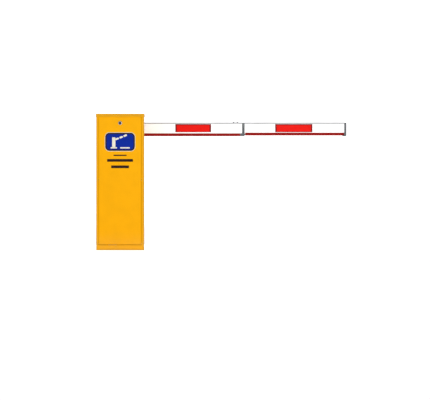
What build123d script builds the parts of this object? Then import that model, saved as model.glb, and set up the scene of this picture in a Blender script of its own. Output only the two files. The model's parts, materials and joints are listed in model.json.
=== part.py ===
from build123d import *
import os
from math import cos, radians, sin

# Parking barrier gate with a two-section folding arm.
# Millimetres. Origin: centre of the cabinet's footprint, on the ground.
# +X runs along the lowered arm, -Y is the service door, +Y is the arm's side, +Z is up.

# Cabinet
cabinet_width = 350.0
cabinet_depth = 298.0
cabinet_height = 1000.0
sheet = 2.0
corner_radius = 12.0
plinth_height = 38.0
cover_height = 22.0
cover_gap = 0.3
body_top = 990.0
rim_width = 25.0
base_thickness = 8.0
anchor_spacing_x = 240.0
anchor_spacing_y = 200.0
anchor_hole_radius = 8.0
cable_opening_x = 140.0
cable_opening_y = 100.0

# Service door, tilting outward on two pins at its foot
door_width = 312.0
door_bottom = 41.2
door_top = 974.0
door_return = 14.0
door_pin_y = -143.0
door_pin_z = 47.2
door_pin_radius = 3.0
lock_z = 931.0
lock_radius = 9.0
lip_bottom = 948.0
cam_length = 36.0

# Inner frame
shelf_top = 520.0
shelf_thickness = 8.0
plate_top = 950.0
front_plate_back = -54.0
rear_plate_back = 140.0
plate_thickness = 8.0
rear_plate_thickness = 10.0
plate_width = 220.0

# Lift shaft, lever and balance spring
shaft_z = 868.0
shaft_radius = 17.5
running_gap = 0.05
lever_front = -88.0
lever_thickness = 10.0
lever_half_width = 14.0
rod_arm = 60.0
spring_arm = 80.0
stub_radius = 6.0
stub_front = -110.0
spring_y = -100.0
spring_radius = 20.0
spring_eye_z = 330.0

# Worm gearbox and motor
output_z = 640.0
output_radius = 12.5
gear_y = 10.0
wheel_teeth = 30
wheel_module = 3.0
worm_pitch_radius = 14.0
motor_radius = 52.0
motor_top = 560.0
motor_bottom = 360.0

# Arm
arm_front = 180.0
arm_thickness = 45.0
arm_top = 936.0
main_bottom = 859.0
outer_bottom = 864.0
arm_wall = 2.5
arm_top_cut = 7.0
arm_foot_cut = 1.5
main_start = 75.0
main_end = 894.0
strip_start = 172.0
outer_end = 1646.0
tip_thickness = 16.0
strip_height = 21.0
tape_thickness = 0.6
tape_low = 867.0
tape_high = 927.0
main_tape_span = (406.0, 663.0)
outer_tape_span = (1144.0, 1406.0)

# Fold joint between the two arm sections, and the parallel rod that drives it
fold_x = 903.0
fold_z = 851.0
knuckle_radius = 13.0
cheek_front_thickness = 10.0
cheek_back_thickness = 8.0
fold_pin_radius = 5.0
joint_gap = 0.3
rod_offset = 36.8
rod_y = 202.0
rod_half_thickness = 4.5

# Worked out from the above
half_width = cabinet_width / 2
half_depth = cabinet_depth / 2
inner_width = cabinet_width - 2 * sheet
inner_depth = cabinet_depth - 2 * sheet
arm_back = arm_front + arm_thickness
arm_mid = arm_front + arm_thickness / 2
cheek_front = (arm_front, arm_front + cheek_front_thickness)
cheek_back = (arm_back - cheek_back_thickness, arm_back)
wheel_pitch_radius = wheel_teeth * wheel_module / 2
worm_x = wheel_pitch_radius + worm_pitch_radius
lever_back = lever_front + lever_thickness
spring_pin_x = -spring_arm * cos(radians(45))
spring_pin_z = shaft_z + spring_arm * sin(radians(45))
rod_pin_x = rod_arm * cos(radians(45))
lever_pin_z = shaft_z - rod_arm * sin(radians(45))
crank_pin_z = output_z - rod_arm * sin(radians(45))
stud_z = shaft_z + rod_offset
fold_arm_x = fold_x - rod_offset
fold_arm_z = fold_z + rod_offset

os.makedirs("parts", exist_ok=True)


def across(y):
    """Upright plane at depth y, facing the front: sketch x is X, sketch y is Z."""
    return Plane.XZ.offset(-y)


def write_piece(part, name):
    """Labels a finished piece and writes its STEP file."""
    part.label = name
    export_step(part, f"parts/{name}.step")


# ---------------------------------------------------------------- cabinet

with BuildPart() as base_plate:
    with BuildSketch():
        RectangleRounded(inner_width - 2, inner_depth - 2, corner_radius - sheet)
        RectangleRounded(cable_opening_x, cable_opening_y, 10, mode=Mode.SUBTRACT)
        with GridLocations(anchor_spacing_x, anchor_spacing_y, 2, 2):
            Circle(anchor_hole_radius, mode=Mode.SUBTRACT)
    extrude(amount=base_thickness)
write_piece(base_plate.part, "base_plate")

door_opening = door_width / 2 + 2
seal_spigot_radius = 22.0
with BuildPart() as cabinet_body:
    with BuildSketch():
        RectangleRounded(cabinet_width, cabinet_depth, corner_radius)
        RectangleRounded(inner_width, inner_depth, corner_radius - sheet, mode=Mode.SUBTRACT)
    extrude(amount=body_top)
    # Rims folded inward: one on the base plate, one under the cover
    for rim_z in (base_thickness, body_top - sheet):
        with BuildSketch(Plane.XY.offset(rim_z)):
            RectangleRounded(inner_width, inner_depth, corner_radius - sheet)
            Rectangle(inner_width - 2 * rim_width, inner_depth - 2 * rim_width, mode=Mode.SUBTRACT)
        extrude(amount=sheet)
    # Door opening in the front sheet
    with BuildSketch(across(-half_depth + sheet)):
        with Locations((0, (plinth_height + door_top + 2) / 2)):
            Rectangle(2 * door_opening, door_top + 2 - plinth_height)
    extrude(amount=sheet, mode=Mode.SUBTRACT)
    # Returns folded back beside the door
    for side in (-1, 1):
        with BuildSketch(Plane.XY.offset(plinth_height)):
            with Locations((side * (door_opening + sheet / 2), -half_depth + door_return / 2)):
                Rectangle(sheet, door_return)
        extrude(amount=door_top + 2 - plinth_height)
    # Lip that the lock's cam closes behind
    with BuildSketch(across(-half_depth + 5)):
        with Locations((0, (lip_bottom + body_top - sheet) / 2)):
            Rectangle(2 * door_opening - 16, body_top - sheet - lip_bottom)
    extrude(amount=sheet)
    # Hinge pin holes in the returns, and the shaft and stud holes in the back
    with BuildSketch(Plane.YZ.offset(-half_width)):
        with Locations((door_pin_y, door_pin_z)):
            Circle(door_pin_radius + running_gap)
    extrude(amount=cabinet_width, mode=Mode.SUBTRACT)
    with BuildSketch(across(half_depth)):
        with Locations((0, shaft_z)):
            Circle(seal_spigot_radius)
        with Locations((-rod_offset, stud_z)):
            Circle(stub_radius + 0.2)
    extrude(amount=sheet, mode=Mode.SUBTRACT)
write_piece(cabinet_body.part, "cabinet_body")

cover_half_x = half_width + cover_gap + sheet
cover_half_y = half_depth + cover_gap + sheet
cover_bottom = cabinet_height - cover_height
cover_screw_z = cover_bottom + 6
cover_screw_radius = 2.5
cover_screw_head = 4.5
cover_screw_places = [(-80, cover_screw_z), (80, cover_screw_z)]
cover_pad = 20.0
with BuildPart() as top_cover:
    with BuildSketch(Plane.XY.offset(cover_bottom)):
        RectangleRounded(2 * cover_half_x, 2 * cover_half_y, corner_radius + sheet)
    extrude(amount=cover_height)
    fillet(top_cover.edges().group_by(Axis.Z)[-1], 1.5)
    with BuildSketch(Plane.XY.offset(cover_bottom)):
        RectangleRounded(2 * (cover_half_x - sheet), 2 * (cover_half_y - sheet), corner_radius)
    extrude(amount=cover_height - sheet, mode=Mode.SUBTRACT)
    # Four feet inside the cover sit on the body's top rim
    with BuildSketch(Plane.XY.offset(body_top)):
        with GridLocations(cabinet_width - 2 * cover_pad, cabinet_depth - 2 * cover_pad, 2, 2):
            Rectangle(cover_pad, cover_pad)
    extrude(amount=cabinet_height - sheet - body_top)
    with BuildSketch(Plane.YZ.offset(-cover_half_x)):
        with Locations(*cover_screw_places):
            Circle(cover_screw_radius + 0.1)
    extrude(amount=2 * cover_half_x, mode=Mode.SUBTRACT)
write_piece(top_cover.part, "top_cover")

with BuildPart() as cover_screws:
    for side in (-1, 1):
        face = side * cover_half_x
        with BuildSketch(Plane.YZ.offset(face)):
            with Locations(*cover_screw_places):
                Circle(cover_screw_head)
        extrude(amount=side * 2.0)
        with BuildSketch(Plane.YZ.offset(face)):
            with Locations(*cover_screw_places):
                Circle(cover_screw_radius)
        extrude(amount=-side * (sheet + cover_gap - 0.05))
write_piece(cover_screws.part, "cover_screws")

# ---------------------------------------------------------------- service door

door_face = -half_depth - 1
stiffener_x = 75.0
stiffener_width = 30.0
stiffener_height = 780.0
with BuildPart() as front_door:
    with BuildSketch(across(-half_depth + 1)):
        with Locations((0, (door_bottom + door_top) / 2)):
            Rectangle(door_width, door_top - door_bottom)
    extrude(amount=sheet)
    # Side returns and foot return
    for side in (-1, 1):
        with BuildSketch(Plane.YZ.offset(side * door_width / 2)):
            with Locations((-half_depth - 1 + door_return / 2, (door_bottom + door_top - 4) / 2)):
                Rectangle(door_return, door_top - 4 - door_bottom)
        extrude(amount=-side * sheet)
    with BuildSketch(Plane.XY.offset(door_bottom)):
        with Locations((0, -half_depth - 1 + door_return / 2)):
            Rectangle(door_width, door_return)
    extrude(amount=sheet)
    # Two upright stiffeners
    for side in (-1, 1):
        with BuildSketch(Plane.XY.offset(door_bottom + 60)):
            with Locations((side * stiffener_x, -half_depth + 1 + 5)):
                Rectangle(stiffener_width, 10)
                Rectangle(stiffener_width - 2 * sheet, 10, mode=Mode.SUBTRACT)
            with Locations((side * stiffener_x, -half_depth + 1 + 9)):
                Rectangle(stiffener_width, sheet)
        extrude(amount=stiffener_height)
    with BuildSketch(Plane.YZ.offset(-door_width / 2)):
        with Locations((door_pin_y, door_pin_z)):
            Circle(door_pin_radius + running_gap)
    extrude(amount=door_width, mode=Mode.SUBTRACT)
    with BuildSketch(across(-half_depth + 1)):
        with Locations((0, lock_z)):
            Circle(lock_radius + 0.1)
    extrude(amount=sheet, mode=Mode.SUBTRACT)
write_piece(front_door.part, "front_door")

pin_reach = 8.0
pin_head = 2.5
with BuildPart() as door_hinge_pins:
    for side in (-1, 1):
        with BuildSketch(Plane.YZ.offset(side * (door_width / 2 - pin_reach))):
            with Locations((door_pin_y, door_pin_z)):
                Circle(door_pin_radius)
        extrude(amount=side * (door_opening - door_width / 2 + pin_reach + sheet + 0.2))
        with BuildSketch(Plane.YZ.offset(side * (door_opening + sheet + 0.2))):
            with Locations((door_pin_y, door_pin_z)):
                Circle(door_pin_radius + 0.8)
        extrude(amount=side * pin_head)
write_piece(door_hinge_pins.part, "door_hinge_pins")

lock_rim_radius = 14.0
lock_rim_height = 5.0
plug_radius = 6.0
with BuildPart() as lock_barrel:
    with BuildSketch(across(door_face)):
        with Locations((0, lock_z)):
            Circle(lock_rim_radius)
    extrude(amount=lock_rim_height)
    fillet(lock_barrel.edges().filter_by(GeomType.CIRCLE).group_by(Axis.Y)[0], 2)
    with BuildSketch(across(door_face + 8)):
        with Locations((0, lock_z)):
            Circle(lock_radius)
    extrude(amount=8)
    # Bore for the key plug
    with BuildSketch(across(door_face + 8)):
        with Locations((0, lock_z)):
            Circle(plug_radius + running_gap)
    extrude(amount=8 + lock_rim_height, mode=Mode.SUBTRACT)
write_piece(lock_barrel.part, "lock_barrel")

with BuildPart() as lock_plug:
    with BuildSketch(across(door_face + 16)):
        with Locations((0, lock_z)):
            Circle(plug_radius)
    extrude(amount=16 + lock_rim_height - 0.5)
    with BuildSketch(across(door_face)):
        with Locations((0, lock_z)):
            SlotOverall(8, 2)
    extrude(amount=6, mode=Mode.SUBTRACT)
write_piece(lock_plug.part, "lock_plug")

with BuildPart() as lock_cam:
    with BuildSketch(across(door_face + 12)):
        with Locations((0, lock_z)):
            Circle(11)
        with Locations((cam_length / 2, lock_z)):
            Rectangle(cam_length, 16)
        with Locations((0, lock_z)):
            Circle(plug_radius, mode=Mode.SUBTRACT)
    extrude(amount=3)
write_piece(lock_cam.part, "lock_cam")

label_z = 794.0
label_width = 223.0
label_height = 139.0
label_corner = 34.0
with BuildPart() as front_label:
    with BuildSketch(across(door_face)):
        with Locations((0, label_z)):
            RectangleRounded(label_width, label_height, label_corner)
    extrude(amount=0.8)
write_piece(front_label.part, "front_label")

# ---------------------------------------------------------------- inner frame

shelf_front = -66.0
rail_back = 134.0
rail_leg = 40.0
rail_thickness = 4.0
with BuildPart() as support_rails:
    for side in (-1, 1):
        wall = side * (half_width - sheet)
        with BuildSketch(across(rail_back)):
            with Locations((wall - side * rail_thickness / 2, shelf_top - shelf_thickness - rail_leg / 2)):
                Rectangle(rail_thickness, rail_leg)
            with Locations((wall - side * rail_leg / 2, shelf_top - shelf_thickness - rail_thickness / 2)):
                Rectangle(rail_leg, rail_thickness)
        extrude(amount=rail_back - shelf_front)
write_piece(support_rails.part, "support_rails")

motor_hole_radius = motor_radius + 4
with BuildPart() as shelf_plate:
    with BuildSketch(Plane.XY.offset(shelf_top - shelf_thickness)):
        with Locations((0, (rear_plate_back + shelf_front) / 2)):
            Rectangle(2 * half_width - 2 * sheet - 10, rear_plate_back - shelf_front)
        with Locations((worm_x, gear_y)):
            Circle(motor_hole_radius, mode=Mode.SUBTRACT)
        # Way through for the wiring
        with Locations((-90, 40)):
            RectangleRounded(60, 90, 8, mode=Mode.SUBTRACT)
    extrude(amount=shelf_thickness)
write_piece(shelf_plate.part, "shelf_plate")

shaft_clearance = 22.0
with BuildPart() as front_plate:
    with BuildSketch(across(front_plate_back)):
        with Locations((0, (shelf_top + plate_top) / 2)):
            RectangleRounded(plate_width, plate_top - shelf_top, 6)
        with Locations((0, shaft_z)):
            Circle(shaft_clearance, mode=Mode.SUBTRACT)
        with Locations((0, output_z)):
            Circle(output_radius + 4, mode=Mode.SUBTRACT)
        # Lightening hole
        with Locations((0, 750)):
            RectangleRounded(120, 50, 12, mode=Mode.SUBTRACT)
    extrude(amount=plate_thickness)
write_piece(front_plate.part, "front_plate")

with BuildPart() as rear_plate:
    with BuildSketch(across(rear_plate_back)):
        with Locations((0, (shelf_top + plate_top) / 2)):
            RectangleRounded(plate_width, plate_top - shelf_top, 6)
        with Locations((0, shaft_z)):
            Circle(shaft_clearance, mode=Mode.SUBTRACT)
        with Locations((-rod_offset, stud_z)):
            Circle(stub_radius, mode=Mode.SUBTRACT)
        # Lightening hole
        with Locations((0, 690)):
            RectangleRounded(130, 130, 14, mode=Mode.SUBTRACT)
    extrude(amount=rear_plate_thickness)
write_piece(rear_plate.part, "rear_plate")

spacer_places = [(-98, 560), (98, 800), (-98, 800), (98, 938), (-98, 938)]
spacer_radius = 8.0
rear_plate_front = rear_plate_back - rear_plate_thickness
with BuildPart() as frame_spacers:
    with BuildSketch(across(rear_plate_front)):
        with Locations(*spacer_places):
            Circle(spacer_radius)
    extrude(amount=rear_plate_front - front_plate_back)
write_piece(frame_spacers.part, "frame_spacers")

plate_front = front_plate_back - plate_thickness
bearing_radius = 31.0
bearing_width = 14.0
flange_size = 100.0
flange_thickness = 8.0
boss_radius = 40.0
housing_depth = 20.0
with BuildPart() as bearing_housings:
    # Each: a square flange against its plate and a round boss beyond it
    for seat, facing in ((front_plate_back, 1), (rear_plate_front, -1)):
        flange_back = max(seat, seat + facing * flange_thickness)
        boss_back = max(seat + facing * flange_thickness, seat + facing * housing_depth)
        with BuildSketch(across(flange_back)):
            with Locations((0, shaft_z)):
                RectangleRounded(flange_size, flange_size, 10)
        extrude(amount=flange_thickness)
        with BuildSketch(across(boss_back)):
            with Locations((0, shaft_z)):
                Circle(boss_radius)
        extrude(amount=housing_depth - flange_thickness)
        with BuildSketch(across(max(seat, seat + facing * housing_depth))):
            with Locations((0, shaft_z)):
                Circle(bearing_radius + running_gap)
        extrude(amount=housing_depth, mode=Mode.SUBTRACT)
write_piece(bearing_housings.part, "bearing_housings")

with BuildPart() as shaft_bearings:
    for back in (front_plate_back + 3 + bearing_width, rear_plate_front - 3):
        with BuildSketch(across(back)):
            with Locations((0, shaft_z)):
                Circle(bearing_radius)
                Circle(shaft_radius + running_gap, mode=Mode.SUBTRACT)
        extrude(amount=bearing_width)
write_piece(shaft_bearings.part, "shaft_bearings")

seal_radius = 30.0
seal_height = 4.0
with BuildPart() as shaft_seal:
    with BuildSketch(across(half_depth + seal_height)):
        with Locations((0, shaft_z)):
            Circle(seal_radius)
    extrude(amount=seal_height)
    with BuildSketch(across(half_depth)):
        with Locations((0, shaft_z)):
            Circle(seal_spigot_radius - 0.2)
    extrude(amount=sheet)
    with BuildSketch(across(half_depth + seal_height)):
        with Locations((0, shaft_z)):
            Circle(shaft_radius + running_gap)
    extrude(amount=sheet + seal_height, mode=Mode.SUBTRACT)
write_piece(shaft_seal.part, "shaft_seal")

# Rubber buffers that the lever meets at the ends of its travel
buffer_radius = 12.0
buffer_gap = 0.6
buffer_along = 60.0 * cos(radians(45))
buffer_off = (lever_half_width + buffer_gap + buffer_radius) * cos(radians(45))
with BuildPart() as buffer_stops:
    with BuildSketch(across(plate_front)):
        with Locations(
            (buffer_off - buffer_along, shaft_z + buffer_along + buffer_off),
            (buffer_off - buffer_along, shaft_z - buffer_along - buffer_off),
        ):
            Circle(buffer_radius)
    extrude(amount=plate_front - lever_front)
write_piece(buffer_stops.part, "buffer_stops")

cam_back = -12.0
cam_thickness = 8.0
cam_radius = 46.0
sensor_x = 59.0
with BuildPart() as limit_cam:
    with BuildSketch(across(cam_back)):
        with Locations((0, shaft_z)):
            Circle(cam_radius)
        with Locations((0, shaft_z + 40)):
            Rectangle(24, 20, mode=Mode.SUBTRACT)
        with Locations((0, shaft_z)):
            Circle(shaft_radius, mode=Mode.SUBTRACT)
    extrude(amount=cam_thickness)
write_piece(limit_cam.part, "limit_cam")

with BuildPart() as position_sensors:
    with BuildSketch(across(cam_back + 4)):
        with Locations((-sensor_x, shaft_z), (sensor_x, shaft_z)):
            RectangleRounded(14, 18, 2)
    extrude(amount=cam_back + 4 - front_plate_back)
write_piece(position_sensors.part, "position_sensors")

# ---------------------------------------------------------------- gearbox and motor

housing_bottom = motor_top
housing_front = -30.0
housing_back = 50.0
housing_wall = 6.0
nose_radius = 46.0
worm_end_radius = 8.0
housing_left = -62.0
housing_right = worm_x + 34.0
housing_top = 716.0
housing_mid_x = (housing_left + housing_right) / 2
housing_mid_z = (housing_bottom + housing_top) / 2
with BuildPart() as gearbox_housing:
    with BuildSketch(across(housing_back)):
        with Locations((housing_mid_x, housing_mid_z)):
            RectangleRounded(housing_right - housing_left, housing_top - housing_bottom, 14)
    extrude(amount=housing_back - housing_front)
    with BuildSketch(across(housing_front)):
        with Locations((0, output_z)):
            Circle(nose_radius)
    extrude(amount=housing_front - front_plate_back)
    with BuildSketch(across(housing_back)):
        with Locations((housing_mid_x, housing_mid_z)):
            RectangleRounded(
                housing_right - housing_left - 2 * housing_wall,
                housing_top - housing_bottom - 2 * housing_wall,
                14 - housing_wall,
            )
    extrude(amount=housing_back - housing_front - housing_wall, mode=Mode.SUBTRACT)
    with BuildSketch(across(housing_front + housing_wall)):
        with Locations((0, output_z)):
            Circle(output_radius + running_gap)
    extrude(amount=housing_front + housing_wall - front_plate_back, mode=Mode.SUBTRACT)
    with BuildSketch(Plane.XY.offset(housing_bottom)):
        with Locations((worm_x, gear_y)):
            Circle(worm_end_radius + running_gap)
    extrude(amount=housing_wall, mode=Mode.SUBTRACT)
write_piece(gearbox_housing.part, "gearbox_housing")

gearbox_cover_thickness = 6.0
with BuildPart() as gearbox_cover:
    with BuildSketch(across(housing_back + gearbox_cover_thickness)):
        with Locations((housing_mid_x, housing_mid_z)):
            RectangleRounded(housing_right - housing_left, housing_top - housing_bottom, 14)
    extrude(amount=gearbox_cover_thickness)
    fillet(gearbox_cover.edges().group_by(Axis.Y)[-1], 1.5)
write_piece(gearbox_cover.part, "gearbox_cover")

wheel_face = 24.0
wheel_back = gear_y + wheel_face / 2
tooth_step = 360 / wheel_teeth
tooth_radius = wheel_pitch_radius - wheel_module / 2
with BuildPart() as worm_wheel:
    with BuildSketch(across(wheel_back)):
        with Locations((0, output_z)):
            Circle(wheel_pitch_radius - wheel_module)
        with Locations((0, output_z)):
            with PolarLocations(tooth_radius, wheel_teeth, start_angle=tooth_step / 2):
                Rectangle(3 * wheel_module, wheel_module * 1.5)
        with Locations((0, output_z)):
            Circle(output_radius, mode=Mode.SUBTRACT)
    extrude(amount=wheel_face)
write_piece(worm_wheel.part, "worm_wheel")

shaft_front = -96.0
output_back = housing_back - 4
with BuildPart() as output_shaft:
    with BuildSketch(across(output_back)):
        with Locations((0, output_z)):
            Circle(output_radius)
    extrude(amount=output_back - shaft_front)
write_piece(output_shaft.part, "output_shaft")

worm_core_radius = worm_pitch_radius - wheel_module - 1
worm_length = 80.0
worm_shaft_top = 700.0
handwheel_bottom = 316.0
worm_shaft_bottom = handwheel_bottom - 4
with BuildPart() as worm_shaft:
    with BuildSketch(Plane.XY.offset(worm_shaft_bottom)):
        with Locations((worm_x, gear_y)):
            Circle(worm_end_radius)
    extrude(amount=worm_shaft_top - worm_shaft_bottom)
    with BuildSketch(Plane.XY.offset(output_z - worm_length / 2)):
        with Locations((worm_x, gear_y)):
            Circle(worm_core_radius)
    extrude(amount=worm_length)
write_piece(worm_shaft.part, "worm_shaft")

junction_back = gear_y + motor_radius + 14
cable_start_z = 420.0
motor_bore_radius = 40.0
motor_flange = 8.0
fin_count = 20
with BuildPart() as motor_casing:
    with BuildSketch(Plane.XY.offset(motor_bottom)):
        with Locations((worm_x, gear_y)):
            Circle(motor_radius)
            with PolarLocations(motor_radius, fin_count):
                Rectangle(5, 2.4)
    extrude(amount=motor_top - motor_flange - motor_bottom)
    with BuildSketch(Plane.XY.offset(motor_top - motor_flange)):
        with Locations((worm_x, gear_y)):
            Circle(motor_radius)
    extrude(amount=motor_flange)
    with BuildSketch(Plane.XY.offset(motor_bottom)):
        with Locations((worm_x, gear_y)):
            Circle(motor_bore_radius)
    extrude(amount=motor_top - 12 - motor_bottom, mode=Mode.SUBTRACT)
    with BuildSketch(Plane.XY.offset(motor_bottom)):
        with Locations((worm_x, gear_y)):
            Circle(worm_end_radius + running_gap)
    extrude(amount=motor_top - motor_bottom, mode=Mode.SUBTRACT)
    # Junction box on the motor's back
    with BuildSketch(across(junction_back)):
        with Locations((worm_x, cable_start_z)):
            RectangleRounded(44, 50, 5)
    extrude(amount=junction_back - gear_y - motor_radius + 4)
write_piece(motor_casing.part, "motor_casing")

end_cover_height = 14.0
with BuildPart() as motor_end_cover:
    with BuildSketch(Plane.XY.offset(motor_bottom - end_cover_height)):
        with Locations((worm_x, gear_y)):
            Circle(motor_radius)
            Circle(worm_end_radius + running_gap, mode=Mode.SUBTRACT)
    extrude(amount=end_cover_height)
    lower_edges = motor_end_cover.edges().filter_by(GeomType.CIRCLE).group_by(Axis.Z)[0]
    fillet(lower_edges.sort_by(SortBy.RADIUS)[-1], 4)
write_piece(motor_end_cover.part, "motor_end_cover")

handwheel_radius = 45.0
handwheel_thickness = 18.0
with BuildPart() as handwheel:
    with BuildSketch(Plane.XY.offset(handwheel_bottom)):
        with Locations((worm_x, gear_y)):
            Circle(handwheel_radius)
            # Finger scallops round the rim
            with PolarLocations(handwheel_radius + 7, 8):
                Circle(12, mode=Mode.SUBTRACT)
            Circle(worm_end_radius, mode=Mode.SUBTRACT)
    extrude(amount=handwheel_thickness)
write_piece(handwheel.part, "handwheel")

hub_back = -70.0
crank_boss_radius = 22.0
with BuildPart() as crank_arm:
    with BuildSketch(across(lever_back)):
        with Locations((0, output_z)):
            Circle(crank_boss_radius)
        with Locations(Location((rod_pin_x / 2, (output_z + crank_pin_z) / 2), -45)):
            Rectangle(rod_arm, 2 * lever_half_width - 4)
        with Locations((rod_pin_x, crank_pin_z)):
            Circle(lever_half_width - 2)
    extrude(amount=lever_thickness)
    with BuildSketch(across(hub_back)):
        with Locations((0, output_z)):
            Circle(crank_boss_radius)
    extrude(amount=22)
    with BuildSketch(across(lever_front)):
        with Locations((rod_pin_x, crank_pin_z)):
            Circle(stub_radius)
    extrude(amount=lever_front - stub_front)
    with BuildSketch(across(hub_back)):
        with Locations((0, output_z)):
            Circle(output_radius)
    extrude(amount=hub_back - stub_front, mode=Mode.SUBTRACT)
write_piece(crank_arm.part, "crank_arm")

rod_back = -93.0
eye_thickness = 12.0
eye_radius = 13.0
pivot_clearance = 0.3
with BuildPart() as connecting_rod:
    with BuildSketch(Plane.XY.offset(crank_pin_z)):
        with Locations((rod_pin_x, rod_back - eye_thickness / 2)):
            Circle(5.8)
    extrude(amount=lever_pin_z - crank_pin_z)
    with BuildSketch(across(rod_back)):
        with Locations((rod_pin_x, crank_pin_z), (rod_pin_x, lever_pin_z)):
            Circle(eye_radius)
    extrude(amount=eye_thickness)
    with BuildSketch(across(rod_back)):
        with Locations((rod_pin_x, crank_pin_z)):
            Circle(stub_radius + running_gap)
        with Locations((rod_pin_x, lever_pin_z)):
            Circle(stub_radius + pivot_clearance)
    extrude(amount=eye_thickness, mode=Mode.SUBTRACT)
write_piece(connecting_rod.part, "connecting_rod")

# ---------------------------------------------------------------- lift shaft, lever and spring

with BuildPart() as main_shaft:
    with BuildSketch(across(arm_front)):
        with Locations((0, shaft_z)):
            Circle(shaft_radius)
    extrude(amount=arm_front - shaft_front)
    chamfer(main_shaft.edges().filter_by(GeomType.CIRCLE), 1)
write_piece(main_shaft.part, "main_shaft")

lever_boss_radius = 28.0
with BuildPart() as shaft_lever:
    with BuildSketch(across(lever_back)):
        with Locations(
            Location(((rod_pin_x + spring_pin_x) / 2, (lever_pin_z + spring_pin_z) / 2), -45)
        ):
            SlotCenterToCenter(rod_arm + spring_arm, 2 * lever_half_width)
    extrude(amount=lever_thickness)
    with BuildSketch(across(hub_back)):
        with Locations((0, shaft_z)):
            Circle(lever_boss_radius)
    extrude(amount=21)
    with BuildSketch(across(lever_front)):
        with Locations((rod_pin_x, lever_pin_z), (spring_pin_x, spring_pin_z)):
            Circle(stub_radius)
    extrude(amount=lever_front - stub_front)
    with BuildSketch(across(hub_back)):
        with Locations((0, shaft_z)):
            Circle(shaft_radius)
    extrude(amount=hub_back - stub_front, mode=Mode.SUBTRACT)
write_piece(shaft_lever.part, "shaft_lever")

hook_wire = 2.5
ring_half = 3.0
coil_bottom = 384.0
coil_top = 876.0
coil_wall = 5.0
end_disc = 6.0
with BuildPart() as balance_spring:
    with BuildSketch(Plane.XY.offset(coil_bottom)):
        with Locations((spring_pin_x, spring_y)):
            Circle(spring_radius)
            Circle(spring_radius - coil_wall, mode=Mode.SUBTRACT)
    extrude(amount=coil_top - coil_bottom)
    for cap_z in (coil_bottom, coil_top - end_disc):
        with BuildSketch(Plane.XY.offset(cap_z)):
            with Locations((spring_pin_x, spring_y)):
                Circle(spring_radius)
        extrude(amount=end_disc)
    # Hooks: one on the lever's stub, one in the eye bolt
    for low, high in ((spring_eye_z + 22, coil_bottom), (coil_top, spring_pin_z - 8)):
        with BuildSketch(Plane.XY.offset(low)):
            with Locations((spring_pin_x, spring_y)):
                Circle(2)
        extrude(amount=high - low)
    with BuildSketch(across(spring_y + ring_half)):
        with Locations((spring_pin_x, spring_pin_z)):
            Circle(stub_radius + 5.5)
            Circle(stub_radius + 0.5, mode=Mode.SUBTRACT)
    extrude(amount=2 * ring_half)
    with BuildSketch(Plane.YZ.offset(spring_pin_x - hook_wire)):
        with Locations((spring_y, spring_eye_z + 11.5)):
            Circle(11.5)
            Circle(6.5, mode=Mode.SUBTRACT)
    extrude(amount=2 * hook_wire)
write_piece(balance_spring.part, "balance_spring")

eye_wire = 3.0
eye_inner_radius = 6.5
bolt_radius = 5.0
bolt_bottom = 262.0
with BuildPart() as spring_eye_bolt:
    with BuildSketch(across(spring_y + eye_wire)):
        with Locations((spring_pin_x, spring_eye_z)):
            Circle(2 * eye_inner_radius)
            Circle(eye_inner_radius, mode=Mode.SUBTRACT)
    extrude(amount=2 * eye_wire)
    with BuildSketch(Plane.XY.offset(bolt_bottom)):
        with Locations((spring_pin_x, spring_y)):
            Circle(bolt_radius)
    extrude(amount=spring_eye_z - 11 - bolt_bottom)
write_piece(spring_eye_bolt.part, "spring_eye_bolt")

post_top = 300.0
post_sheet = 5.0
post_width = 60.0
post_depth = 50.0
with BuildPart() as spring_post:
    # Folded strip: an upright with a flange at the top and one at the foot
    with BuildSketch(Plane.YZ.offset(spring_pin_x - post_width / 2)):
        with Locations((spring_y + post_depth / 2 + post_sheet, (base_thickness + post_top) / 2)):
            Rectangle(post_sheet, post_top - base_thickness)
        with Locations(
            (spring_y + post_sheet, post_top - post_sheet / 2),
            (spring_y + post_sheet, base_thickness + post_sheet / 2),
        ):
            Rectangle(post_depth, post_sheet)
    extrude(amount=post_width)
    with BuildSketch(Plane.XY.offset(post_top - post_sheet)):
        with Locations((spring_pin_x, spring_y)):
            Circle(bolt_radius + 0.2)
    extrude(amount=post_sheet, mode=Mode.SUBTRACT)
write_piece(spring_post.part, "spring_post")

nut_height = 8.0
nut_radius = 9.0
with BuildPart() as spring_nuts:
    for low in (post_top, post_top - post_sheet - nut_height):
        with BuildSketch(Plane.XY.offset(low)):
            with Locations((spring_pin_x, spring_y)):
                RegularPolygon(nut_radius, 6)
                Circle(bolt_radius, mode=Mode.SUBTRACT)
        extrude(amount=nut_height)
write_piece(spring_nuts.part, "spring_nuts")

# ---------------------------------------------------------------- electrical parts

box_low = 130.0
box_high = 290.0
box_back = 147.0
box_front = 85.0
box_x = -20.0
box_width = 200.0
box_wall = 3.0
lid_thickness = 4.0
with BuildPart() as controller_box:
    with BuildSketch(across(box_back)):
        with Locations((box_x, (box_low + box_high) / 2)):
            RectangleRounded(box_width, box_high - box_low, 6)
    extrude(amount=box_back - box_front)
    with BuildSketch(across(box_back - box_wall)):
        with Locations((box_x, (box_low + box_high) / 2)):
            RectangleRounded(box_width - 2 * box_wall, box_high - box_low - 2 * box_wall, 4)
    extrude(amount=box_back - box_front - box_wall, mode=Mode.SUBTRACT)
write_piece(controller_box.part, "controller_box")

with BuildPart() as controller_lid:
    with BuildSketch(across(box_front)):
        with Locations((box_x, (box_low + box_high) / 2)):
            RectangleRounded(box_width + 4, box_high - box_low + 4, 6)
    extrude(amount=lid_thickness)
    fillet(controller_lid.edges().group_by(Axis.Y)[0], 1.5)
write_piece(controller_lid.part, "controller_lid")

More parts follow.
